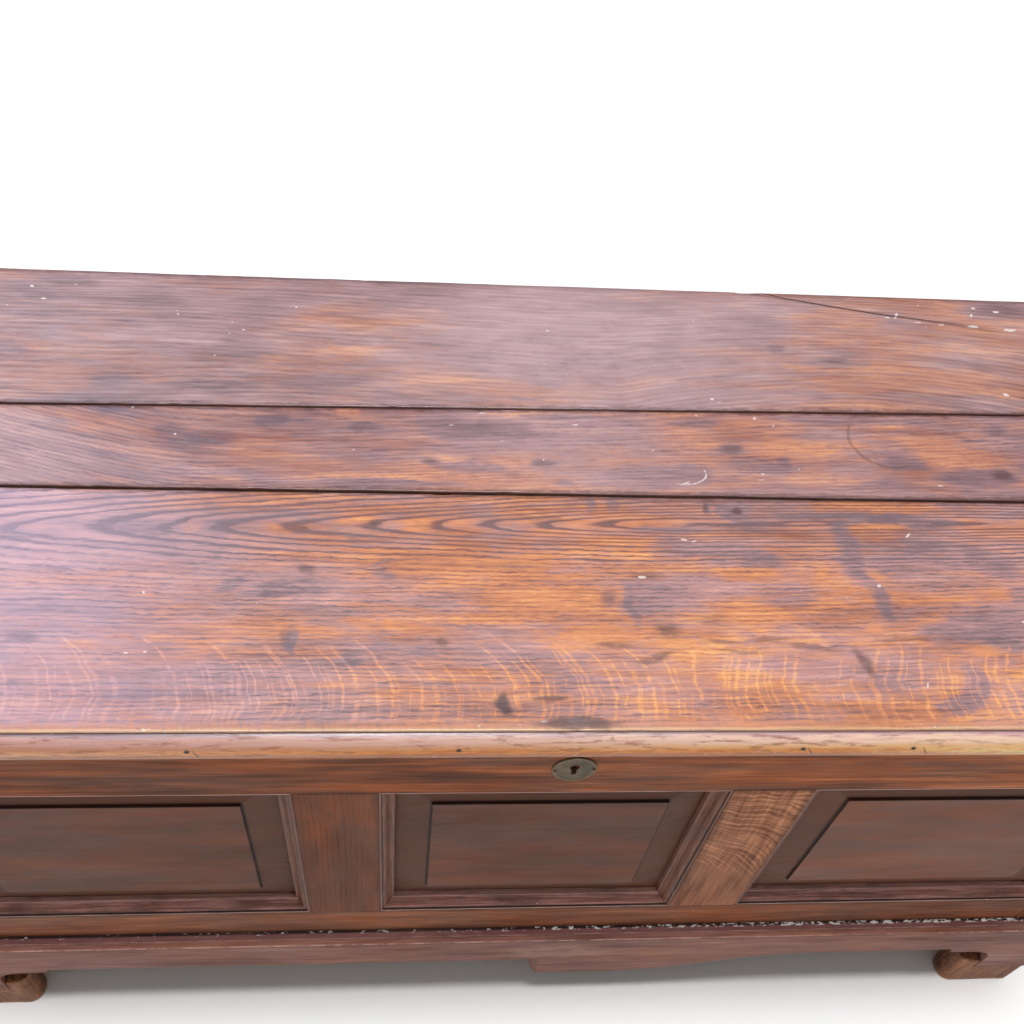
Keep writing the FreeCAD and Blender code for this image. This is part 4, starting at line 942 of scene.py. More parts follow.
FRONT_GOLD = [
    (-9, -131, 62, 13, 0.9), (130, -178, 58, 13, 1.0), (178, -172, 44, 12, 1.0), (10, -165, 46, 7, 0.9), (145, -206, 34, 14, 0.7), (-70, -150, 50, 6, 0.8), (-190, -160, 60, 6, 0.6), (282, -24, 64, 5, 1.0), (160, -100, 50, 9, 0.6),
    (236, -100, 18, 10, 0.8), (303, -242, 60, 7, 0.9), (136, -236, 26, 8, 0.7), (-349, -168, 28, 4, 1.0), (-400, -176, 14, 5, 0.8), (-300, -172, 22, 3, 0.9), (-340, -57, 18, 6, 0.9), (-246, -56, 20, 6, 0.9),
    (-184, -51, 18, 7, 1.0), (-131, -50, 15, 7, 0.9), (-60, -110, 60, 8, 0.5), (60, -80, 30, 8, 0.4), (300, -170, 40, 5, 0.8), (560, -230, 60, 10, 0.6), (-560, -226, 50, 8, 0.4), (440, -226, 60, 12, 0.6),
]
FRONT_SPOTS = [(261, -159, 8, 4, 1.0), (247, -172, 8, 3, 0.8), (357, -179, 16, 4, 1.0), (282, -102, 9, 5, 0.9, -20), (30, -158, 18, 3, 0.7), (-9, -178, 20, 3, 0.7), (112, -190, 14, 3, 0.6), (300, -46, 20, 2.5, 0.7)]
FRONT_WHITE = [(108, -65, 4, 1.2, 1.0, -30), (117, -67, 4, 1.2, 1.0, 20), (65, -106, 6, 1.6, 1.0), (320, -57, 6, 1.4, 1.0, 45), (-359, -126, 1.6, 2.6, 1.0), (-365, -184, 3, 1.4, 1.0), (-350, -183, 2, 1.2, 0.8), (279, -113, 2.4, 2.2, 1.0), (-10, -250, 14, 1.3, 1.0), (-30, -246, 5, 1.6, 0.8), (297, -213, 1.4, 5, 0.8, -20), (401, -150, 2, 1.6, 0.8)]


def smaller(rows, k=0.62):
    return [(r[0], r[1], r[2] * k, r[3] * k) + tuple(r[4:]) for r in rows]


def lid_front_tone(g, h, m):
    a = loosened(g, 16.0, 30.0, 51.0)
    g.loose = a
    fine = g.noise(g.q, (15, 8, 8), 3.0, 0.65, 61.0)
    g.fine = fine
    smoke = spots(g, a, FRONT_SMOKE, 0.5)
    smoke = g.highest(smoke, arcs(g, a, [(313, -208, 27, 23, -38, 0.5, 0.95), (161, -33, 15, 9, 200, 0.4, 0.8)]))
    smoke = smoke * g.ramp(fine, 0.22, 0.46, 0.55, 1.0)
    gold = spots(g, a, FRONT_GOLD, 0.7) * g.ramp(fine, 0.30, 0.60, 0.2, 1.0)
    h = h - smoke * 0.27 + gold * 0.17 - g.ramp(g.v, -235.0, -150.0, 0.07, 0.0) - g.ramp(g.v, -96.0, -60.0, 0.0, 0.09)
    h = h + spots(g, a, [(380, -215, 110, 40, 0.16)], 0.8)
    m = m - smoke * 0.75 + gold * 0.75
    # the left end is painted mauve as painted sheen of the window's reflection, the middle honey, the right end duller
    m = m - g.ramp(g.u, -540.0, -60.0, 0.55, 0.0) - g.ramp(g.u + g.v * 0.6, 180.0, 420.0, 0.0, 0.30)
    return h, m


def lid_front_paint(g, color, roughness, height):
    u, v, w, see = g.u, g.v, g.w, g.see
    a, fine = g.loose, g.fine
    color = g.mix(spots(g, a, FRONT_STAINS, 0.6) * g.ramp(fine, 0.28, 0.52, 0.45, 1.0) * 0.8, color, see((112, 88, 88)))
    color = g.mix(spots(g, a, FRONT_SPOTS, 0.6) * 0.7, color, see((236, 158, 110)))
    # painted sheen: a lavender reflection of the window painted in towards the left end
    color = g.mix(g.ramp(u + v * 0.3 + (fine - 0.5) * 60.0, -520.0, -250.0, 0.34, 0.0), color, see((206, 172, 196)))
    # a knot and its dark heart
    ring = spots(g, a, [(161, -32, 14, 8, 1.0)], 0.35)
    color = g.mix(spots(g, a, [(165, -31, 6, 3.5, 0.7), (133, -28, 3, 7, 0.5)], 0.5), color, see((96, 70, 66)))
    height = height - ring * 0.2
    bits = spots(g, g.vec(u + (fine - 0.5) * 6.0, v + (fine - 0.5) * 5.0, 0.0), smaller(FRONT_WHITE), 0.5)
    crumb = g.cells(g.q, (34, 21, 21), 6.0)
    crumb = g.ramp(crumb, 0.012, 0.026, 1.0, 0.0) * g.ramp(g.noise(g.q, (130, 60, 60), 1.0, 0.5, 67.0), 0.46, 0.52)
    color = g.mix(g.highest(g.ramp(bits, 0.3, 0.6), crumb) * 0.85, color, see((248, 226, 220)))
    # the long arris above the moulding is rubbed to gold, with upright strokes of it running back
    wear = g.noise(g.vec(u, v, w), (60, 8, 8), 4.0, 0.62, 71.0)
    stroke = g.noise(g.vec(u + v * 0.25, v, w), (3.6, 22, 22), 2.0, 0.6, 73.0)
    band = g.ramp(v + (wear - 0.5) * 16.0 + (stroke - 0.5) * 14.0, -252.5, -240.5, 1.0, 0.0) * g.ramp(wear, 0.36, 0.60, 0.6, 1.0)
    gold = g.mix(g.ramp(v + (wear - 0.5) * 5.0, -252.2, -249.6, 1.0, 0.0), see((224, 152, 110)), see((244, 196, 146)))
    color = g.mix(band * 0.8, color, gold)
    # a knot and two grimy marks lie across that gold
    color = g.mix(spots(g, a, [(-60, -230, 6, 9, 1.0), (-24, -225, 12, 3.5, 0.8), (-5, -247, 30, 4.5, 0.9)], 0.45) * 0.85, color, see((92, 76, 80)))
    ends = g.ramp(g.size(u) + (wear - 0.5) * 10.0, 664.0, 676.0)
    color = g.mix(ends * g.ramp(wear, 0.38, 0.6) * 0.6, color, see((226, 172, 124)))
    # the nose: a dark quirk of painted shadow under the step, a mauve band of painted sky reflection, a cream roll of
    # painted highlight and a golden lower half that turns brown as painted shade where it faces down; the bands are
    # painted paler towards the right as painted light
    nose = g.ramp(w, -1.9, -1.2, 1.0, 0.0) * g.highest(g.ramp(v, -252.4, -251.9, 1.0, 0.0), g.ramp(g.size(u), 675.9, 676.4) * 0.3)
    # painted light: the nose colours grow paler towards the right
    side = g.ramp(u + (wear - 0.5) * 200.0, -460.0, 420.0)
    scuff = g.noise(g.q, (30, 4, 4), 4.0, 0.7, 75.0)
    fibre = g.noise(g.q, (46, 1.3, 1.3), 3.0, 0.6, 77.0)
    at = w + (wear - 0.5) * 4.5 + (scuff - 0.5) * 2.4
    mauve = g.mix(side, see((178, 148, 156)), see((222, 176, 174)))
    cream = g.mix(side, see((214, 166, 156)), see((255, 214, 188)))
    tan = g.mix(side, see((214, 152, 124)), see((255, 202, 146)))
    low = lambda rgb: seen(rgb, 0.90, 0.035)
    left = g.ramp(u, -430.0, -120.0, 1.0, 0.0)
    gold = g.mix(g.ramp(scuff, 0.40, 0.62), g.mix(left, low((196, 116, 50)), low((208, 146, 106))), g.mix(left, low((236, 152, 68)), low((234, 174, 132))))
    # painted light: the gold grows brighter towards the right
    gold = g.mix(g.ramp(u, 200.0, 380.0), gold, g.mix(g.ramp(scuff, 0.36, 0.56), low((240, 164, 100)), low((255, 208, 136))))
    brown = g.mix(left, low((172, 100, 46)), low((182, 124, 90)))
    right = g.ramp(u, 150.0, 380.0, 1.0, 0.2)
    # painted sky reflection in the mauve band, painted highlight in the cream roll
    moulded = g.mix(g.ramp(at, -4.6, -3.2), cream, mauve)
    moulded = g.mix(g.ramp(at, -9.6, -6.6, 1.0, 0.0), moulded, tan)
    moulded = g.mix(g.ramp(at, -13.0, -9.5, 1.0, 0.0), moulded, gold)
    # painted shade: brown where the underside faces down
    moulded = g.mix(g.ramp(at, -18.5, -13.5, 1.0, 0.0) * right * 0.85, moulded, brown)
    moulded = g.mix(g.ramp(scuff, 0.52, 0.64) * (right * 0.4 + 0.22), moulded, see((154, 94, 66)))
    moulded = g.mix(g.ramp(fibre, 0.52, 0.66) * right * 0.30, moulded, see((172, 114, 90)))
    # painted shadow of the step in the quirk
    quirk = g.ramp(g.size(w + 2.65), 0.25, 0.9, 1.0, 0.0)
    moulded = g.mix(quirk * 0.75, moulded, see((84, 58, 60)))
    holes = spots(g, g.vec(u, w, 0.0), [(cx, -11.5, 2.2, 1.5, 1.0) for cx in (-308.6, 182.0, 275.0, -98.0, 540.0)], 0.5)
    splits = spots(g, g.vec(u + w * 0.6, w, 0.0), [(cx - 2.0, -15.0, 0.8, 4.0, 0.7) for cx in (-308.6, 182.0, 279.0, 520.0)], 0.7)
    moulded = g.mix(g.highest(holes, splits), moulded, (0.012, 0.006, 0.008, 1.0))
    color = g.mix(nose, color, moulded)
    # chips of white and of grime along the arris and the open joint
    chip = g.noise(g.q, (4, 2.2, 2.2), 2.0, 0.6, 81.0) * 0.6 + g.noise(g.q, (90, 20, 20), 2.0, 0.5, 83.0) * 0.4
    color = g.mix(g.ramp(chip, 0.64, 0.68) * g.ramp(v, -250.0, -246.0, 1.0, 0.0) * g.ramp(w, -3.4, -2.4) * 0.8, color, see((252, 236, 220)))
    color = g.mix(g.ramp(chip, 0.31, 0.36, 1.0, 0.0) * nose * 0.6, color, see((120, 70, 56)))
    color = g.mix(g.ramp(v + (fine - 0.5) * 8.0, -23.0, -16.5, 0.0, 0.7), color, see((96, 66, 62)))
    # light scratches
    hair = g.noise(g.vec(u + v * 0.5, v - u * 0.16, w), (70, 0.9, 9), 1.0, 0.5, 87.0)
    scratch = g.ramp(hair, 0.71, 0.75)
    color = g.mix(scratch * 0.3, color, see((236, 208, 196)))
    height = height - scratch * 0.03
    return color, roughness, height


def under_lid(g):
    """The underside and the joint faces were never polished."""
    joint = g.ramp(g.size(g.ny), 0.7, 0.9) * g.ramp(g.size(g.w + 12.0), 8.5, 10.5, 1.0, 0.0) * g.ramp(g.y, -262.0, -258.0)
    return g.highest(g.ramp(g.nz, -0.9, -0.7, 1.0, 0.0), joint)


LID_COOL = ((136, 112, 116), (176, 138, 138), (208, 156, 150), (236, 180, 166))
LID_WARM = ((146, 100, 90), (194, 128, 100), (226, 150, 106), (250, 182, 124))


def fleck_mask(g, u, v, w):
    low = g.ramp(v + (g.noise(g.q, (120, 40, 40), 2.0, 0.5, 93.0) - 0.5) * 60.0, -172.0, -140.0, 1.0, 0.0)
    return low * g.ramp(v, -250.0, -240.0)


mat_lid_front = oak(
    "oak_lid_front", "x", "z", (0, 0, LID_TOP), cool=LID_COOL, warm=LID_WARM, light=TOP_LIGHT, veil=0.035,
    pith=(-50.0, 0.0), tilt=(-0.02, 0.0), run=lid_front_run, squash=(1.6, 1.15, 9.0), ring=5.2, wander=(2.8, 1.4), jitter=lambda g, u, v: g.ramp(g.size(v + 50.0), 12.0, 50.0, 1.2, 5.5), thick=0.46, faint=0.2, glow=0.17, level=0.50, hue=0.50, hue_range=1.15,
    lines=0.36, band=lambda g, u, v: g.ramp(v + (g.noise(g.q, (90, 30, 30), 1.0, 0.5, 97.0) - 0.5) * 30.0, -100.0, -78.0, 0.0, 0.42), pores=0.25, dash=(15.0, 1.3), fine=0.75, medium=0.8,
    rays={"lean": 0.06, "mid": -224.0, "pitch": (15.0, 10.0), "wide": 2.1, "reach": 44.0, "sway": 15.0, "bow": fleck_bow, "mask": fleck_mask, "power": 0.30, "gild": lambda g, u: g.ramp(u, -330.0, -40.0, 0.0, 0.55)},
    smoke=0.38, seed=3.0, rough=(0.30, 0.48), coat=0.3, coat_rough=0.24, relief=1.0, tone=lid_front_tone, paint=lid_front_paint, raw=under_lid,
)


# ---- lid, middle board
MIDDLE_SMOKE = [
    (-182, 62, 14, 5, 0.9), (-92, 60, 30, 14, 0.8), (-52, 62, 28, 12, 1.0), (5, 78, 36, 5, 0.9), (44, 72, 34, 6, 0.6), (-14, 22, 12, 4.5, 1.0), (3, -2, 10, 4, 0.9), (91, 8, 42, 12, 0.8), (126, 10, 20, 13, 0.9),
    (-120, 21, 10, 5, 0.7), (-85, 16, 26, 8, 0.6), (-155, -6, 64, 6, 0.75), (-332, 41, 30, 14, 0.8), (-358, 52, 18, 8, 0.7), (-270, 67, 16, 6, 0.8), (-418, 78, 16, 4, 0.6), (169, 42, 14, 8, 0.95), (140, 76, 28, 7, 0.8),
    (219, 29, 7, 8, 0.8), (190, 24, 30, 8, 0.5), (444, 75, 10, 7, 0.8), (419, 61, 17, 2, 0.8), (434, 17, 13, 8, 1.0, -15), (405, 14, 36, 11, 0.7), (340, 29, 22, 8, 0.7), (-520, 30, 50, 12, 0.5), (-600, 60, 40, 10, 0.5), (560, 40, 50, 14, 0.7), (630, 80, 26, 8, 0.5), (300, 84, 60, 6, 0.5),
]
MIDDLE_GOLD = [
    (-46, 14, 34, 11, 1.0), (-62, 2, 26, 5, 0.8), (6, 62, 28, 3.5, 1.0), (-105, 23, 24, 8, 0.9), (-134, 12, 40, 6, 0.8), (-201, 80, 18, 6, 1.0), (133, 50, 28, 11, 0.8), (250, 46, 52, 10, 0.7), (262, 8, 42, 6, 0.6), (400, 40, 46, 9, 0.8), (385, 30, 24, 6, 0.9),
    (-350, 30, 34, 4, 0.5), (-330, 10, 44, 4, 0.8), (-180, 4, 54, 4, 0.8), (-372, 14, 26, 8, 0.5), (-440, 52, 24, 8, 0.5), (500, 80, 40, 6, 0.6), (-40, 82, 30, 3, 0.8),
]
MIDDLE_WHITE = [(118, 0, 9, 1.2, 1.0, 24), (-14, 25, 2.2, 1.6, 1.0), (141, 86, 1.4, 3, 1.0), (199, 83, 2.4, 2.4, 1.0, 50), (217, 74, 1.2, 3, 0.8), (195, 13, 3.2, 1.4, 1.0), (192, 6, 6, 1.0, 0.8), (-355, 48, 2.4, 2.2, 1.0), (-398, 80, 2, 3.2, 1.0), (367, 2, 6, 1.0, 0.8), (232, 20, 1.6, 1.4, 0.9), (-100, 66, 4, 1.0, 0.9), (-70, 82, 6, 1.2, 0.9), (20, 70, 5, 1.0, 0.9)]


def lid_middle_sweep(g, u, v):
    """At the left end the grain runs down towards the front."""
    a = g.root((u + 360.0) * (u + 360.0) + 3000.0)
    return (u + 360.0 - a) * 0.16


def lid_middle_tone(g, h, m):
    a = loosened(g, 13.0, 26.0, 52.0)
    g.loose = a
    fine = g.noise(g.q, (14, 7, 7), 3.0, 0.65, 62.0)
    g.fine = fine
    smoke = spots(g, a, MIDDLE_SMOKE, 0.5) * g.ramp(fine, 0.22, 0.46, 0.55, 1.0)
    gold = spots(g, a, MIDDLE_GOLD, 0.7) * g.ramp(fine, 0.30, 0.60, 0.2, 1.0)
    h = h - smoke * 0.26 + gold * 0.22
    m = m - smoke * 1.0 + gold * 0.8
    # painted sheen: the left end painted cooler and, at its very end, paler, as reflected window light; duller towards
    # the right
    m = m - g.ramp(g.u, -520.0, -200.0, 0.4, 0.0) - g.ramp(g.u, 200.0, 400.0, 0.0, 0.15)
    h = h - spots(g, a, [(-290, 35, 170, 60, 0.26)], 0.8) + g.ramp(g.u, -600.0, -430.0, 0.2, 0.0)
    # painted sheen: a pale patch of reflected light near the middle
    g.bloom = spots(g, a, [(20, 36, 110, 60, 1.0)], 0.8)
    h = h + g.bloom * 0.08 - g.ramp(g.u, 200.0, 400.0, 0.0, 0.07)
    return h, m


def lid_middle_paint(g, color, roughness, height):
    see, fine, u, v = g.see, g.fine, g.u, g.v
    near = g.vec(u + (fine - 0.5) * 5.0, v + (fine - 0.5) * 5.0, 0.0)
    color = g.mix(g.highest(arcs(g, near, [(328, 60, 38, 36, -140, 0.06, 0.4)]), spots(g, near, [(-14, 21, 9, 3, 0.6), (434, 17, 9, 5, 0.7), (169, 42, 9, 5, 0.5), (-120, 21, 7, 3, 0.6)], 0.6)), color, see((116, 98, 98)))
    white = g.highest(spots(g, near, smaller(MIDDLE_WHITE), 0.5), arcs(g, near, [(118, 12, 22, 13, -48, 0.07, 0.7)])) + (g.noise(g.q, (4, 2.4, 2.4), 2.0, 0.6, 79.0) - 0.5) * 0.8
    crumb = g.ramp(g.cells(g.q, (38, 19, 19), 7.0), 0.02, 0.036, 1.0, 0.0) * g.ramp(g.noise(g.q, (130, 60, 60), 1.0, 0.5, 68.0), 0.46, 0.52)
    color = g.mix(g.highest(g.ramp(white, 0.5, 0.75), crumb) * 0.85, color, see((244, 228, 226)))
    # painted sheen: a milky pale tint over that patch
    color = g.mix(g.bloom * g.ramp(fine, 0.3, 0.6, 0.14, 0.32), color, see((212, 184, 188)))
    rear = g.size(v - g.math("MULTIPLY_ADD", g.u, 0.01449, 88.5))
    color = g.mix(g.ramp(rear + (fine - 0.5) * 8.0, 0.5, 6.0, 0.7, 0.0), color, see((100, 72, 68)))
    color = g.mix(g.ramp(v + (fine - 0.5) * 8.0, -14.0, -8.0, 0.7, 0.0), color, see((100, 72, 68)))
    return color, roughness, height


mat_lid_middle = oak(
    "oak_lid_middle", "x", "z", (0, 0, LID_TOP), cool=((136, 116, 122), (164, 136, 140), (190, 154, 154), (218, 176, 168)), warm=((148, 108, 106), (184, 134, 122), (212, 154, 132), (242, 180, 142)), light=TOP_LIGHT, veil=(0.065, 0.078, 0.085),
    pith=(330.0, -150.0), tilt=(-0.05, 0.03), sweep=lid_middle_sweep, ring=4.2, wander=(7.0, 1.5), thick=0.6, faint=0.3, jitter=4.0, glow=0.12, level=0.56, hue=0.46, hue_range=1.2, lines=0.22, pores=0.14, fine=0.55, dash=(24.0, 1.6),
    rays={"lean": 0.3, "mid": 40.0, "pitch": (13.0,), "wide": 1.0, "reach": 14.0, "sway": 20.0, "mask": lambda g, u, v, w: g.ramp(g.noise(g.q, (120, 50, 50), 2.0, 0.5, 34.0), 0.50, 0.62), "power": 0.12},
    smoke=0.45, seed=8.0, rough=(0.34, 0.52), coat=0.3, coat_rough=0.26, relief=1.1, tone=lid_middle_tone, paint=lid_middle_paint, raw=under_lid,
)


# ---- lid, rear board
REAR_SMOKE = [
    (211, 207, 42, 24, 0.8), (237, 180, 10, 6, 1.0), (298, 168, 13, 4, 0.8), (125, 183, 34, 12, 0.55, 62), (60, 232, 64, 13, 0.5), (-26, 103, 16, 2.4, 0.9), (-7, 124, 14, 2.4, 0.9), (-372, 207, 26, 14, 0.35), (-507, 226, 16, 5, 0.6),
    (-489, 250, 28, 7, 0.6), (-528, 153, 18, 7, 0.6), (502, 246, 44, 10, 0.9), (-418, 110, 22, 12, 0.7), (-330, 112, 42, 6, 0.7), (-300, 160, 30, 12, 0.5), (350, 118, 120, 5, 0.5), (420, 110, 80, 8, 0.5), (600, 180, 50, 20, 0.6), (-600, 200, 40, 14, 0.4), (-160, 236, 60, 10, 0.4), (-230, 120, 40, 6, 0.4),
]
REAR_GOLD = [(320, 154, 96, 5, 0.9), (335, 140, 74, 4, 0.9), (420, 192, 92, 13, 0.6), (300, 192, 52, 6, 0.5), (-236, 165, 60, 17, 0.55), (-60, 128, 74, 8, 0.4), (470, 122, 40, 7, 0.6), (330, 104, 64, 4, 0.8), (180, 130, 60, 4, 0.6), (-210, 205, 60, 7, 0.4), (560, 230, 50, 10, 0.4)]
REAR_WHITE = [(464, 222, 9, 2.6, 1.0, -8), (505, 219, 11, 2.6, 1.0, 4), (382, 236, 2, 7, 1.0, -25), (372, 233, 5, 1.4, 0.9), (404, 226, 6, 1.4, 0.9), (430, 224, 5, 1.4, 0.8), (474, 252, 4, 2, 0.9), (498, 247, 6, 2.4, 1.0), (468, 240, 2.4, 3, 0.8), (472, 124, 5, 2.4, 1.0, -30), (1, 198, 2.4, 1.8, 1.0), (160, 108, 3, 2.4, 0.9), (168, 104, 4, 1.2, 0.7), (-256, 221, 2.2, 1.6, 1.0), (-305, 187, 3, 1.3, 1.0), (-372, 206, 2, 1.6, 0.9), (-330, 150, 1.6, 1.4, 0.9), (-520, 240, 4, 4, 0.7), (-478, 244, 3, 1.4, 0.8), (-506, 222, 5, 1.4, 0.8)]


def lid_rear_sweep(g, u, v):
    """On the right the rings arch up towards the back, most of all near the joint."""
    a = u - 298.0
    return g.lowest(a * a * 0.0005, 26.0) * g.ramp(v, 100.0, 210.0, 1.0, 0.25)


def lid_rear_tone(g, h, m):
    a = loosened(g, 16.0, 32.0, 53.0)
    fine = g.noise(g.q, (15, 8, 8), 3.0, 0.65, 63.0)
    g.fine = fine
    smoke = spots(g, a, REAR_SMOKE, 0.5) * g.ramp(fine, 0.22, 0.46, 0.55, 1.0)
    gold = spots(g, a, REAR_GOLD, 0.7) * g.ramp(fine, 0.30, 0.60, 0.2, 1.0)
    h = h - smoke * 0.24 + gold * 0.18
    m = m - smoke * 0.9 + gold * 0.9
    # painted sheen: pinker and paler in the middle, as reflected light
    pale = spots(g, a, [(40, 180, 150, 90, 1.0), (170, 225, 90, 60, 0.6)], 0.7)
    g.bloom = pale
    h = h + pale * 0.10 - spots(g, a, [(-480, 125, 160, 40, 0.14), (-230, 230, 130, 40, 0.10)], 0.8)
    # painted sheen: cooler towards the left end and through the middle; warmer towards the right
    return h, m - g.ramp(g.u, -400.0, -200.0, 0.25, 0.0) - pale * 0.35 + g.ramp(g.u, 160.0, 380.0, 0.0, 0.12)


def lid_rear_paint(g, color, roughness, height):
    see, fine, u, v = g.see, g.fine, g.u, g.v
    near = g.vec(u + (fine - 0.5) * 7.0, v + (fine - 0.5) * 6.0, 0.0)
    white = spots(g, near, smaller(REAR_WHITE, 0.7), 0.5) + (g.noise(g.q, (4, 2.4, 2.4), 2.0, 0.6, 79.0) - 0.5) * 0.7
    crumb = g.ramp(g.cells(g.q, (42, 24, 24), 5.0), 0.018, 0.032, 1.0, 0.0) * g.ramp(g.noise(g.q, (130, 60, 60), 1.0, 0.5, 69.0), 0.46, 0.52)
    color = g.mix(g.highest(g.ramp(white, 0.52, 0.76), crumb) * 0.9, color, see((248, 236, 232)))
    color = g.mix(g.ramp(v + (fine - 0.5) * 10.0, 256.0, 266.0, 0.0, 0.55), color, see((104, 78, 76)))
    front = v - g.math("MULTIPLY_ADD", g.u, 0.01449, 90.1)
    color = g.mix(g.ramp(front + (fine - 0.5) * 8.0, 0.5, 6.0, 0.7, 0.0), color, see((104, 74, 70)))
    # painted sheen: a milky pale tint over the middle, as reflected light
    color = g.mix(g.bloom * g.ramp(fine, 0.3, 0.6, 0.22, 0.42), color, see((216, 190, 196)))
    # dark edges of the crack
    run = g.math("MULTIPLY_ADD", g.u, -0.178, 303.0)
    line = g.ramp(g.size(v - run), 0.6, 3.0, 1.0, 0.0) * g.ramp(u, 214.0, 230.0) * g.ramp(u, 470.0, 510.0, 1.0, 0.0)
    color = g.mix(line * 0.4, color, see((96, 70, 68)))
    return color, roughness, height


mat_lid_rear = oak(
    "oak_lid_rear", "x", "z", (0, 0, LID_TOP), cool=((142, 120, 124), (168, 140, 143), (190, 158, 160), (218, 182, 180)), warm=((146, 108, 106), (180, 134, 126), (206, 154, 138), (236, 180, 152)), light=TOP_LIGHT, veil=(0.07, 0.075, 0.085),
    pith=(-120.0, -190.0), tilt=(0.02, -0.02), sweep=lid_rear_sweep, ring=4.4, wander=(7.0, 1.2), thick=0.6, faint=0.35, jitter=3.0, glow=0.09, level=0.56, hue=0.38, hue_range=1.1, lines=0.18, pores=0.12, fine=0.55, dash=(34.0, 1.8),
    smoke=0.35, seed=14.0, rough=(0.32, 0.50), coat=0.32, coat_rough=0.26, relief=1.1, tone=lid_rear_tone, paint=lid_rear_paint, raw=under_lid,
)
paint_with(lid_front, mat_lid_front)
paint_with(lid_middle, mat_lid_middle)
paint_with(lid_rear, mat_lid_rear)


# ---- the frame
FRAME_COOL = ((72, 50, 44), (94, 66, 56), (110, 78, 66), (132, 96, 80))
FRAME_WARM = ((80, 48, 38), (110, 66, 48), (136, 80, 55), (166, 106, 74))
BACK_COOL = ((74, 60, 52), (96, 78, 66), (112, 92, 78), (136, 114, 96))
BACK_WARM = ((78, 58, 46), (104, 80, 62), (122, 96, 74), (146, 118, 92))


def frame_material(node, grain, face, seed, raw_faces=(), **more):
    lo, hi = limits(node)
    at = tuple((lo + hi) / 2)
    other = [a for a in "xyz" if a not in (grain, face)][0]
    o = "xyz".index(other)

    def raw(g):
        out = None
        for ax, sign in raw_faces:
            n = {"x": g.nx, "y": g.ny, "z": g.nz}[ax] * float(sign)
            m = g.ramp(n, 0.5, 0.8)
            out = m if out is None else g.highest(out, m)
        return out

    sign = 1 if seed % 2 else -1
    args = dict(cool=FRAME_COOL, warm=FRAME_WARM, light=FRONT_LIGHT, veil=FRONT_VEIL, pith=(sign * (55.0 + 23.0 * (seed % 3)), -70.0 - 11.0 * (seed % 5)), tilt=(0.02 * sign, 0.015), ring=4.4, wander=(5.0, 1.2),
                level=0.50, hue=0.60, lines=0.10, thick=0.6, faint=0.3, jitter=2.0, pores=0.08, fine=0.20, medium=0.75, coarse=1.0, cloud=1.0, hue_range=0.8, dash=(40.0, 2.2), smoke=0.2,
                rough=(0.5, 0.68), coat=0.0, coat_rough=0.3, relief=0.5, specular=0.12, edge_dirt=0.35, edge_size=5.0)
    args.update(more)
    return oak("oak_" + node, grain, face, at, seed=float(seed), raw=raw if raw_faces else None, edges=[(other, lo[o]), (other, hi[o])], **args)


def top_rail_tone(g, h, m):
    # long soft streaks of orange and grey green; painted light: duller at the left and paler at the right, as light
    # falling more strongly from the right
    streak = g.noise(g.q, (150, 11.0, 11.0), 2.0, 0.5, 91.0)
    gold = g.ramp(streak, 0.53, 0.66)
    dull = g.ramp(streak, 0.33, 0.46, 1.0, 0.0)
    side = g.ramp(g.x, -460.0, 460.0, -0.5, 0.5)
    h = h + gold * 0.16 - dull * 0.12 + side * 0.16
    m = m + gold * 0.45 - dull * 0.5 + side * 0.35
    h = h + 0.05
    return h, m


def bottom_rail_tone(g, h, m):
    side = g.ramp(g.x, -460.0, 460.0, -0.5, 0.5)
    return h - side * 0.24 - 0.03, m + side * 0.1 - 0.3


def muntin_light_tone(g, h, m):
    # tiger stripes: level near the top, falling away to the right lower down; plain at the foot
    fall = g.ramp(g.z, 350.0, 590.0, 1.35, 0.20)
    s = g.z + (g.x - 201.5) * fall + (g.noise(g.q, (60, 30, 30), 2.0, 0.5, 95.0) - 0.5) * 26.0
    wave = g.noise(g.vec(s, g.x * 0.22, 0.0), (5.6, 26.0, 1.0), 2.0, 0.6, 96.0)
    zone = g.ramp(g.z + (g.x - 201.5) * 0.5, 372.0, 420.0) * g.ramp(g.noise(g.q, (70, 30, 30), 2.0, 0.5, 98.0), 0.34, 0.5, 0.35, 1.0)
    pale = g.ramp(wave, 0.47, 0.58) * zone
    g.stripe = pale
    h = h + (pale - zone * 0.45) * 0.34 + g.ramp(g.z, 330.0, 600.0, 0.0, 0.10)
    m = m + pale * 0.3 + 0.1
    return h, m


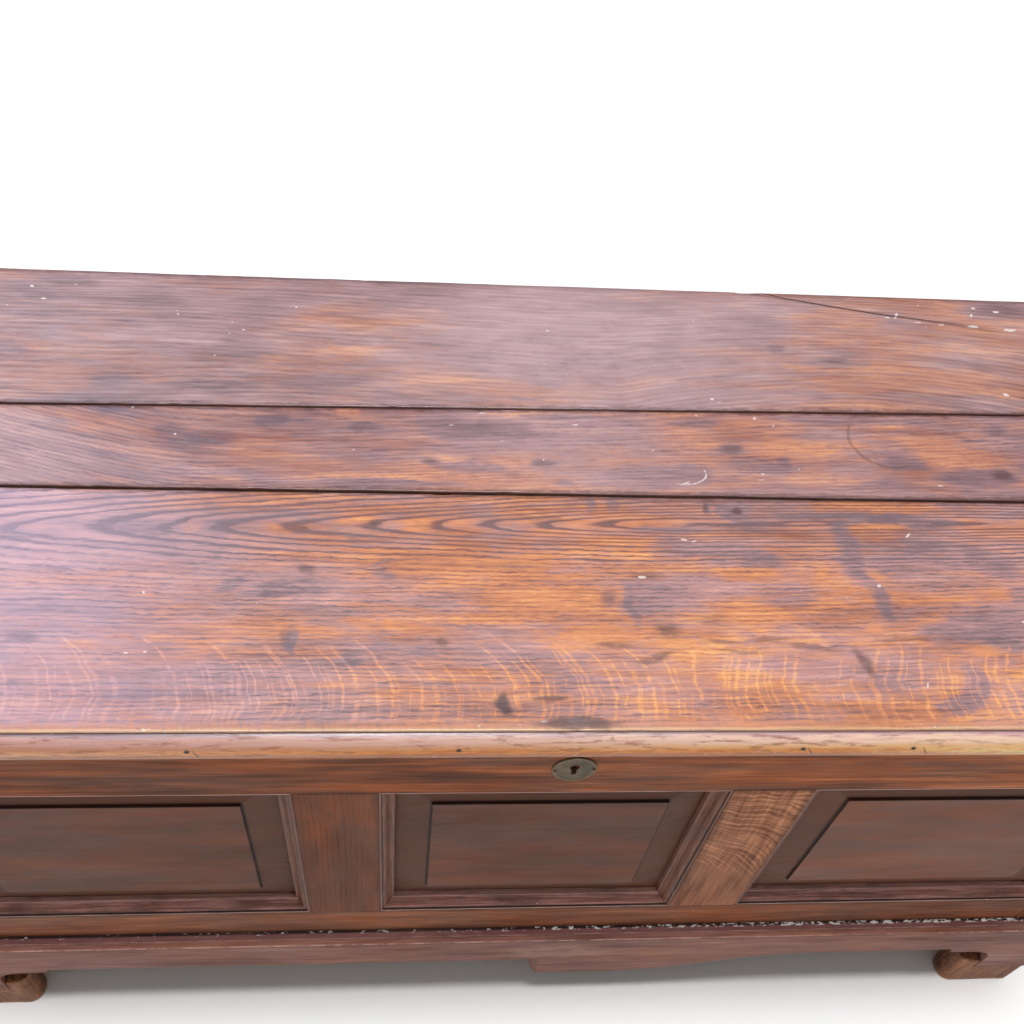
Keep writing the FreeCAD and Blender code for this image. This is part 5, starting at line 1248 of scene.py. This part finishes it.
INWARD = {"front": (("y", 1), ("z", -1), ("z", 1)), "back": (("y", -1), ("z", -1)), "left": (("x", 1), ("z", -1)), "right": (("x", -1), ("z", -1))}
INWARD.update(front_left=INWARD["left"] + (("y", 1),), front_right=INWARD["right"] + (("y", 1),))
INWARD.update(rear_left=INWARD["front_left"] + (("y", -1),), rear_right=INWARD["front_right"] + (("y", -1),))
PLAIN_BACK = dict(cool=BACK_COOL, warm=BACK_WARM, coat=0.0, rough=(0.66, 0.84), lines=0.42, thick=0.55, faint=0.35, jitter=3.0, pores=0.5, fine=0.55, medium=0.5, coarse=0.45, cloud=0.7, hue_range=0.5, dash=(30.0, 1.8), smoke=0.12, relief=1.3, edge_dirt=0.6, edge_size=6.0)
finishes = {
    "front_top_rail": ("x", "y", "front", dict(tone=top_rail_tone, coarse=0.5, medium=0.7)),
    "front_bottom_rail": ("x", "y", "front", dict(tone=bottom_rail_tone, level=0.60)),
    "front_left_muntin": ("z", "y", "front", dict(fine=0.10, medium=0.35, coarse=0.7, level=0.37, hue=0.30, contrast=0.7)),
    "front_right_muntin": ("z", "y", "front", dict(tone=muntin_light_tone, cool=((78, 52, 42), (108, 76, 62), (132, 94, 77), (160, 118, 98)), warm=((80, 50, 38), (116, 76, 58), (142, 96, 72), (174, 124, 94)), level=0.50, cloud=0.6)),
    "front_left_post": ("z", "y", "front_left", {}),
    "front_right_post": ("z", "y", "front_right", dict(level=0.52)),
    "rear_left_post": ("z", "x", "rear_left", {}),
    "rear_right_post": ("z", "x", "rear_right", {}),
    "left_end_top_rail": ("y", "x", "left", {}),
    "left_end_bottom_rail": ("y", "x", "left", {}),
    "right_end_top_rail": ("y", "x", "right", {}),
    "right_end_bottom_rail": ("y", "x", "right", {}),
    "back_top_rail": ("x", "y", "back", PLAIN_BACK),
    "back_bottom_rail": ("x", "y", "back", PLAIN_BACK),
    "back_muntin": ("z", "y", "back", PLAIN_BACK),
}
for n, (node, (grain, face, where, more)) in enumerate(finishes.items()):
    paint_with(made[node], frame_material(node, grain, face, 20 + 3 * n, raw_faces=INWARD[where], **more))

PANEL_COOL = ((76, 58, 52), (92, 69, 62), (106, 80, 72), (122, 94, 84))
PANEL_WARM = ((80, 54, 46), (104, 68, 56), (118, 78, 64), (138, 96, 76))


def panel_paint(axis, out):
    """Bevels painted greyer and darker than the field as painted shade, and a black line of painted shadow where they
    meet it at the step.
    """

    def paint(g, color, roughness, height):
        lo, hi = g.box
        a = {"x": g.x, "y": g.y}[axis]
        i = "xyz".index(axis)
        ca, cz, ha, hz = (lo[i] + hi[i]) / 2, (lo[2] + hi[2]) / 2, (hi[i] - lo[i]) / 2, (hi[2] - lo[2]) / 2
        inner = g.lowest(ha - g.size(a - ca), hz - g.size(g.z - cz)) - g.margin
        wavy = g.noise(g.q, (22, 22, 22), 3.0, 0.6, 65.0) - 0.5
        bevel = g.ramp(inner, -1.5, 0.5, 1.0, 0.0)
        # painted shade on the bevels
        color = g.mix(bevel * 0.7, color, g.see((84, 62, 54)))
        line = g.ramp(g.size(inner + wavy * 1.2), 0.5, 2.2, 1.0, 0.0)
        # painted shadow of the step where bevel meets field
        color = g.mix(line * 0.75, color, (0.008, 0.006, 0.007, 1.0))
        return color, roughness, height

    return paint


def boxed(lo, hi, margin, paint):
    def run(g, color, roughness, height):
        g.box, g.margin = (lo, hi), margin
        return paint(g, color, roughness, height)

    return run


for n, node in enumerate(PANELS):
    face = "x" if "end" in node else "y"
    where = "left" if node.startswith("left") else "right" if node.startswith("right") else "back" if node.startswith("back") else "front"
    more = dict(cool=PANEL_COOL, warm=PANEL_WARM, level=0.34, hue={"front_left_panel": 0.35, "front_centre_panel": 0.40, "front_right_panel": 0.6}.get(node, 0.5), contrast=0.5, hue_range=1.5, lines=0.015, thick=0.6, pores=0.04, fine=0.08, medium=0.16, coarse=0.4, cloud=2.0, jitter=0.0, dash=(30.0, 4.0), rough=(0.46, 0.6), coat=0.0, smoke=0.1)
    # painted light: the right panel painted lighter, as the front is lit more strongly towards the right
    if node == "front_right_panel":
        more["level"] = 0.56
    if where == "back":
        more = dict(PLAIN_BACK, rough=(0.66, 0.86))
    else:
        lo, hi = limits(node)
        more["paint"] = boxed(lo, hi, PANEL_MARGIN, panel_paint("x" if face == "y" else "y", -1))
    raw = {"front": (("y", 1),), "back": (("y", -1),), "left": (("x", 1),), "right": (("x", -1),)}[where]
    paint_with(made[node], frame_material(node, "x" if face == "y" else "y", face, 70 + 3 * n, raw_faces=raw, **more))


def moulding_material(node, n):
    lo, hi = limits(node)
    face = "x" if "end" in node else "y"
    out = -1 if face == "y" or node.startswith("left") else 1
    front = lo["xyz".index(face)] if out < 0 else hi["xyz".index(face)]
    g = Graph("oak_" + node)
    see = lambda rgb: seen(rgb, FRONT_LIGHT, FRONT_VEIL)
    # grain follows each strip: compare the distance to the upright and level edges of the opening
    a = g.x if face == "y" else g.y
    ca, cz = (lo[0] + hi[0]) / 2 if face == "y" else (lo[1] + hi[1]) / 2, (lo[2] + hi[2]) / 2
    ha, hz = (hi[0] - lo[0]) / 2 if face == "y" else (hi[1] - lo[1]) / 2, (hi[2] - lo[2]) / 2
    da, dz = ha - g.size(a - ca), hz - g.size(g.z - cz)
    level = g.ramp(da - dz, -0.2, 0.2)
    along = g.blend(level, g.z, a)
    across = g.blend(level, da, dz)
    deep = (g.y if face == "y" else g.x) * float(-out) + front * out
    q = g.vec(along, across, deep)
    fibre = g.noise(q, (70, 1.6, 1.6), 4.0, 0.62, 3.0 + n)
    cloud = g.noise(q, (60, 14, 14), 4.0, 0.6, 5.0 + n)
    wear = g.noise(q, (22, 5, 5), 4.0, 0.68, 7.0 + n)
    # painted light: level strips paler and mauver, upright strips darker brown
    color = g.mix(g.ramp(fibre, 0.36, 0.64), g.mix(level, see((88, 63, 54)), see((112, 81, 76))), g.mix(level, see((120, 86, 74)), see((154, 114, 108))))
    color = g.mix(g.ramp(cloud, 0.46, 0.64) * 0.7, color, see((90, 70, 66)))
    color = g.mix(g.ramp(wear, 0.54, 0.68) * 0.30, color, see((140, 84, 62)))
    # arrises painted pale as painted highlight, most on the level strips, broken up like wear; quirks painted dark as
    # painted shade
    edge1 = g.ramp(g.size(across - 1.3) + deep * 0.5, 0.5, 1.9, 1.0, 0.0)
    edge2 = g.ramp(g.size(across - 13.6), 0.4, 1.5, 1.0, 0.0) * g.ramp(deep, 10.5, 12.6, 0.0, 1.0)
    rub = g.highest(edge1, edge2) * g.ramp(wear, 0.30, 0.52, 0.3, 1.0)
    color = g.mix(rub * g.blend(level, 0.12, 0.55), color, see((190, 158, 150)))
    dark = g.highest(g.ramp(g.size(across - 2.8), 0.3, 1.1, 1.0, 0.0), g.ramp(across, -0.2, 0.35, 1.0, 0.0))
    color = g.mix(dark * g.blend(level, 0.6, 0.9), color, (0.006, 0.004, 0.004, 1.0))
    dust = g.cells(q, (4.5, 3.0, 3.0), 9.0 + n)
    where = g.ramp(g.noise(q, (60, 20, 20), 2.0, 0.5, 11.0 + n), 0.62, 0.70)
    color = g.mix(g.ramp(dust, 0.10, 0.20, 1.0, 0.0) * where * 0.8, color, see((220, 206, 196)))
    roughness = g.blend(wear, 0.42, 0.62)
    height = (fibre - 0.5) * 0.08 - dark * 0.15
    return g.done(color, roughness, height, coat=0.0, coat_rough=0.28, specular=0.16)


for n, node in enumerate(STRIPS):
    paint_with(made[node], moulding_material(node, n * 2.0))


# ---- plinth and feet
def plinth_paint(g, color, roughness, height):
    see = g.see
    fine = g.noise(g.q, (18, 6, 6), 3.0, 0.62, 64.0)
    # the ledge on top is painted dark, partly dust and partly painted shade in the recess under the rail, with plaster
    # crumbs and dust lying in the gap behind it
    ledge = g.ramp(g.z, 215.5, 215.8)
    color = g.mix(ledge * 0.7, color, see((104, 74, 76)))
    line1 = g.ramp(g.size(g.z - 214.9), 0.2, 1.0, 1.0, 0.0)
    line2 = g.ramp(g.size(g.z - 208.4), 0.2, 0.9, 1.0, 0.0)
    color = g.mix(g.highest(line1, line2) * g.ramp(fine, 0.38, 0.60, 0.15, 0.75), color, see((188, 152, 142)))
    grit = g.noise(g.q, (7, 3.0, 3.0), 3.0, 0.62, 68.0) * 0.78 + g.noise(g.q, (60, 20, 20), 2.0, 0.5, 69.0) * 0.22
    out = g.highest(g.size(g.x) - 666.0, g.y * -1.0 - 240.0)
    near = ledge * g.ramp(out, 3.4, 5.0, 1.0, 0.0) * g.ramp(grit + g.ramp(g.x, -300.0, 420.0, 0.0, 0.085), 0.595, 0.635)
    gap = ledge * g.ramp(out, 2.2, 3.4, 1.0, 0.0)
    color = g.mix(gap * 0.9, color, (0.008, 0.006, 0.006, 1.0))
    color = g.mix(near * 0.8, color, see((206, 190, 186)))
    dark = g.ramp(g.size(g.z - 206.4), 0.5, 2.4, 1.0, 0.0)
    color = g.mix(dark * 0.55, color, see((50, 36, 34)))
    rubbed = g.noise(g.q, (60, 26, 26), 3.0, 0.6, 69.5) - 0.5
    spot = g.root((g.x - 50.0) * (g.x - 50.0) * 0.16 + (g.z - 168.0) * (g.z - 168.0)) + rubbed * 44.0
    color = g.mix(g.ramp(spot, 10.0, 34.0, 0.34, 0.0) * g.ramp(fine, 0.34, 0.6, 0.4, 1.0), color, see((168, 136, 118)))
    return color, roughness, height


PLINTH_COOL = ((82, 60, 56), (108, 80, 76), (126, 94, 88), (150, 116, 106))
PLINTH_WARM = ((88, 58, 50), (118, 82, 70), (136, 98, 84), (164, 122, 104))
for n, node in enumerate(PLINTH):
    face = "y" if node.startswith("front") else "x"
    raw = {"front": (("y", 1),), "left": (("x", 1),), "right": (("x", -1),)}[node.split("_")[0]]
    paint_with(made[node], frame_material(node, "x" if face == "y" else "y", face, 100 + 3 * n, cool=PLINTH_COOL, warm=PLINTH_WARM, level=0.42, hue=0.40, coarse=0.8, fine=0.2, raw_faces=raw, paint=plinth_paint))


def foot_paint(g, color, roughness, height):
    see = g.see
    fine = g.noise(g.P, (9, 9, 7), 4.0, 0.66, 66.0)
    color = g.mix(g.ramp(fine, 0.52, 0.68) * 0.35, color, see((180, 114, 76)))
    color = g.mix(g.ramp(fine, 0.30, 0.42, 1.0, 0.0) * 0.5, color, see((70, 44, 38)))
    scuffed = g.ramp(g.z + (fine - 0.5) * 16.0, 0.0, 12.0, 1.0, 0.0)
    color = g.mix(scuffed * 0.45, color, see((170, 140, 118)))
    roughness = roughness + scuffed * 0.2
    return color, roughness, height


for n, node in enumerate(FEET):
    paint_with(made[node], frame_material(node, "z", "y", 120 + 3 * n, cool=((72, 52, 46), (96, 72, 62), (116, 88, 76), (142, 110, 94)), warm=((78, 52, 40), (106, 74, 56), (126, 90, 70), (152, 112, 86)), raw_faces=(("z", -1),), paint=foot_paint))


# ---- rough wood inside and under
for n, node in enumerate(ROUGH):
    lo, hi = limits(node)
    grain = "xyz"[int(np.argmax(hi - lo))]
    face = "z" if grain != "z" else "y"
    paint_with(made[node], oak("oak_" + node, grain, face, tuple((lo + hi) / 2), cool=((92, 74, 60), (124, 102, 82), (146, 122, 98), (172, 146, 120)), warm=((98, 72, 54), (134, 104, 78), (160, 128, 98), (188, 154, 120)), light=1.0, veil=0.0,
                               pith=(60.0, -90.0), tilt=(0.02, 0.02), ring=4.6, lines=0.22, pores=0.4, smoke=0.3, seed=150.0 + 3 * n, rough=(0.75, 0.92), coat=0.0, relief=1.4, specular=0.3))


# ====================================================================== ironwork
def iron_material(name, seed, base=(74, 64, 58), rust=(120, 78, 56), deep=(40, 34, 32), metal=0.55, rough=(0.5, 0.78), depth=1.0):
    g = Graph(name)
    hammer = g.noise(g.P, 11.0, 2.0, 0.5, seed)
    pit = g.noise(g.P, 1.6, 3.0, 0.65, seed + 2)
    patch = g.noise(g.P, 16.0, 4.0, 0.65, seed + 4)
    color = g.mix(g.ramp(patch, 0.42, 0.62), from_srgb(*base), from_srgb(*rust))
    color = g.mix(g.ramp(pit, 0.52, 0.68) * 0.8, color, from_srgb(*deep))
    color = g.mix(g.ramp(hammer, 0.55, 0.70) * 0.25, color, from_srgb(132, 120, 110))
    height = hammer * 0.5 + pit * 0.25
    return g.done(color, g.blend(patch, rough[0], rough[1]), height, metallic=metal, depth=depth)


IRON = ["left_hinge_strap", "right_hinge_strap", "left_hinge_leaf", "right_hinge_leaf", "lock_plate", "lock_case", "lid_hasp"]
old_iron = iron_material("forged_iron", 3.0)
lock_iron = iron_material("lock_iron", 9.0, base=(88, 80, 74), rust=(116, 84, 62), metal=0.65, rough=(0.42, 0.7), depth=0.5)
for n, node in enumerate(IRON):
    made[node] = member(node, bevel=0.45, step=axis_step(node, 9, 9), amp=0.16, size=14.0, seed=500 + n, angle=45.0)
    paint_with(made[node], lock_iron if node.startswith("lock") else old_iron)
nail_iron = iron_material("nail_iron", 15.0, base=(64, 54, 50), rust=(104, 66, 48), rough=(0.45, 0.7), depth=0.4)
for node in ("hinge_pins", "lid_nails", "carcase_nails"):
    paint_with(NODES[node], nail_iron)
steel = iron_material("worn_steel", 21.0, base=(136, 130, 122), rust=(124, 100, 80), deep=(84, 74, 66), metal=0.85, rough=(0.3, 0.5), depth=0.3)
made["lock_bolt"] = member("lock_bolt", bevel=0.35, step=(8, 0, 8), amp=0.08, size=9.0, seed=520, angle=45.0)
paint_with(made["lock_bolt"], steel)
paint_with(NODES["bolt_spring"], steel)


# ---- the escutcheon: a pressed plate with a rolled rim and a lip round the keyhole
def escutcheon():
    cx, cz, key = 7.6, 651.0, 4.0
    around = 120
    sections = [(0.0, 0.0), (0.0, 0.85), (0.035, 1.25), (0.085, 1.5), (0.14, 1.42), (0.21, 1.02), (0.36, 0.86), (0.55, 0.84), (0.72, 0.92), (0.80, 1.08), (0.855, 1.42), (0.91, 1.58), (0.955, 1.45), (0.985, 1.05), (1.0, 0.5), (1.0, 0.0)]
    verts, faces = [], []
    outer, inner = [], []
    for i in range(around):
        a = 2 * math.pi * i / around + 0.013
        dx, dz = math.cos(a), math.sin(a)
        s_in = 4.4
        if dz < 0:
            s_in = max(4.4, min(2.3 / max(abs(dx), 1e-6), 12.0 / abs(dz)))
        best = None
        for sx in (1, -1):
            for sz in (1, -1):
                qx, qz = -2.96 * sx, 1.2 * sz
                bx, bz = 0.0 - qx, key - qz
                b = bx * dx + bz * dz
                c = bx * bx + bz * bz - 23.0 * 23.0
                s = -b + math.sqrt(b * b - c)
                px, pz = s * dx, key + s * dz
                if px * sx >= -0.02 and pz * sz >= -0.02:
                    best = s
        inner.append(s_in)
        outer.append(best - 0.05)
    for k, (t, h) in enumerate(sections):
        for i in range(around):
            a = 2 * math.pi * i / around + 0.013
            s = inner[i] + (outer[i] - inner[i]) * t
            verts.append([cx + math.cos(a) * s, -240.0 - h, cz + key + math.sin(a) * s])
    co = np.array(verts)
    h = -240.0 - co[:, 1]
    bent = (rough_field(co, 7.0, 700, 2) * 0.5 + 0.5) * 0.22
    co[:, 1] += np.where(h > 0.7, bent, 0)
    count = len(sections)
    for k in range(count):
        m = (k + 1) % count
        for i in range(around):
            j = (i + 1) % around
            faces.append((k * around + i, m * around + i, m * around + j, k * around + j))
    ob = new_object("escutcheon_v", co, faces, "carcase", ("escutcheon",), smooth_angle=60.0)
    bm = bmesh.new()
    bm.from_mesh(ob.data)
    bmesh.ops.recalc_face_normals(bm, faces=bm.faces)
    bm.to_mesh(ob.data)
    bm.free()
    return ob


def brass_material():
    g = Graph("tarnished_brass")
    patch = g.noise(g.P, (13, 13, 13), 4.0, 0.62, 2.0)
    fine = g.noise(g.P, 2.6, 3.0, 0.65, 4.0)
    dx, dz = g.x - 7.6, g.z - 651.0
    a, b = dx / 20.0, dz / 24.0
    d = g.root(a * a + b * b) + (fine - 0.5) * 0.06
    color = g.mix(g.ramp(patch, 0.38, 0.62), from_srgb(104, 84, 56), from_srgb(84, 72, 52))
    color = g.mix(g.ramp(fine, 0.52, 0.68) * 0.5, color, from_srgb(68, 58, 50))
    # painted highlight: a lighter band along the rolled rim
    color = g.mix(g.ramp(d, 0.80, 0.90) * g.ramp(patch, 0.3, 0.55) * 0.6, color, from_srgb(138, 114, 84))
    key = g.root(dx * dx + (dz - 4.0) * (dz - 4.0))
    # painted highlight: a lighter ring round the keyhole lip
    color = g.mix(g.ramp(key, 4.6, 7.4, 1.0, 0.0) * 0.45, color, from_srgb(132, 108, 74))
    color = g.mix(g.ramp(d, 0.955, 1.01) * 0.7, color, from_srgb(48, 38, 32))
    return g.done(color, g.blend(patch, 0.42, 0.66), patch * 0.25 + fine * 0.12, metallic=0.5, depth=0.6)


esc = escutcheon()
brass = brass_material()
paint_with(esc, brass)
paint_with(NODES["escutcheon_pins"], brass)


# ====================================================================== floor, light and camera
def floor():
    me = bpy.data.meshes.new("floor")
    s = 14.0
    me.from_pydata([(-s, -s, 0), (s, -s, 0), (s, s, 0), (-s, s, 0)], [], [(0, 1, 2, 3)])
    ob = bpy.data.objects.new("floor", me)
    scene.collection.objects.link(ob)
    g = Graph("pale_floor")
    n = g.noise(g.P, 400.0, 3.0, 0.5, 1.0)
    color = g.mix(n, (0.90, 0.90, 0.90, 1.0), (0.93, 0.93, 0.93, 1.0))
    me.materials.append(g.done(color, 0.8, None, specular=0.2))
    ob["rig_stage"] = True


floor()
world = bpy.data.worlds.new("studio")
scene.world = world
world.use_nodes = True
wt = world.node_tree
wt.nodes.clear()
wo = wt.nodes.new("ShaderNodeOutputWorld")
soft = wt.nodes.new("ShaderNodeBackground")
soft.inputs[0].default_value = (1.0, 1.0, 1.0, 1.0)
# the sky of the studio is a broad ceiling of light that fades down the walls
heading = wt.nodes.new("ShaderNodeTexCoord")
parts = wt.nodes.new("ShaderNodeSeparateXYZ")
wt.links.new(heading.outputs["Generated"], parts.inputs[0])
fade = wt.nodes.new("ShaderNodeMapRange")
fade.interpolation_type, fade.clamp = "SMOOTHSTEP", True
for socket, value in (("From Min", 0.40), ("From Max", 1.0), ("To Min", 0.04), ("To Max", 0.66)):
    fade.inputs[socket].default_value = value
wt.links.new(parts.outputs[2], fade.inputs["Value"])
wt.links.new(fade.outputs["Result"], soft.inputs[1])
seen_white = wt.nodes.new("ShaderNodeBackground")
seen_white.inputs[0].default_value = (1.0, 1.0, 1.0, 1.0)
seen_white.inputs[1].default_value = 1.05
path = wt.nodes.new("ShaderNodeLightPath")
pick = wt.nodes.new("ShaderNodeMixShader")
wt.links.new(path.outputs["Is Camera Ray"], pick.inputs[0])
wt.links.new(soft.outputs[0], pick.inputs[1])
wt.links.new(seen_white.outputs[0], pick.inputs[2])
wt.links.new(pick.outputs[0], wo.inputs[0])


def aimed(ob, azimuth, elevation, distance, aim=(0.0, 0.0, 0.6)):
    """azimuth 0 is behind the chest, positive to the right."""
    scene.collection.objects.link(ob)
    a, e = math.radians(azimuth), math.radians(elevation)
    way = Vector((math.sin(a) * math.cos(e), math.cos(a) * math.cos(e), math.sin(e)))
    ob.location = Vector(aim) + way * distance
    ob.rotation_mode = "QUATERNION"
    ob.rotation_quaternion = (-way).to_track_quat("-Z", "Y")
    ob.visible_camera = False
    return ob


def softbox(name, azimuth, elevation, distance, width, height, radiance, color):
    light = bpy.data.lights.new(name, "AREA")
    light.shape, light.size, light.size_y = "RECTANGLE", width, height
    light.energy, light.color = radiance * math.pi * width * height, color
    return aimed(bpy.data.objects.new(name, light), azimuth, elevation, distance)


def far_light(name, azimuth, elevation, spread, strength, color):
    """Light from far off, so that it falls evenly on the whole floor."""
    light = bpy.data.lights.new(name, "SUN")
    light.angle, light.energy, light.color = math.radians(spread), strength * math.pi, color
    return aimed(bpy.data.objects.new(name, light), azimuth, elevation, 3.0)


far_light("key", 178.0, 88.8, 10.0, 0.82, (1.0, 1.0, 1.0))
softbox("window", -44.0, 47.0, 3.4, 1.3, 1.1, 6.0, (0.58, 0.74, 1.0))

cam = bpy.data.cameras.new("camera")
cam.type, cam.sensor_fit, cam.sensor_width, cam.lens = "PERSP", "HORIZONTAL", 36.0, 40.926
cam.clip_start, cam.clip_end = 0.02, 60.0
cam_ob = bpy.data.objects.new("camera", cam)
scene.collection.objects.link(cam_ob)
X = (0.9954595243, -0.0450759585, 0.0838361106)
Y = (-0.0143822035, 0.7994230362, 0.6005963381)
Z = (-0.0940929737, -0.5990750930, 0.7951449838)
cam_ob.matrix_world = Matrix(((X[0], Y[0], Z[0], -0.14546), (X[1], Y[1], Z[1], -0.66718), (X[2], Y[2], Z[2], 1.58907), (0, 0, 0, 1)))
scene.camera = cam_ob

scene.view_settings.view_transform = "Standard"
scene.view_settings.look = "None"
scene.view_settings.exposure = 0.0
scene.view_settings.gamma = 1.0
scene.cycles.use_denoising = True
scene.cycles.denoiser = "OPENIMAGEDENOISE"
scene.cycles.denoising_input_passes = "RGB_ALBEDO_NORMAL"

bpy.context.view_layer.update()
low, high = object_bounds()
{"cad": [list(CAD_LOW), list(CAD_HIGH)], "visual": [list(low), list(high)]}
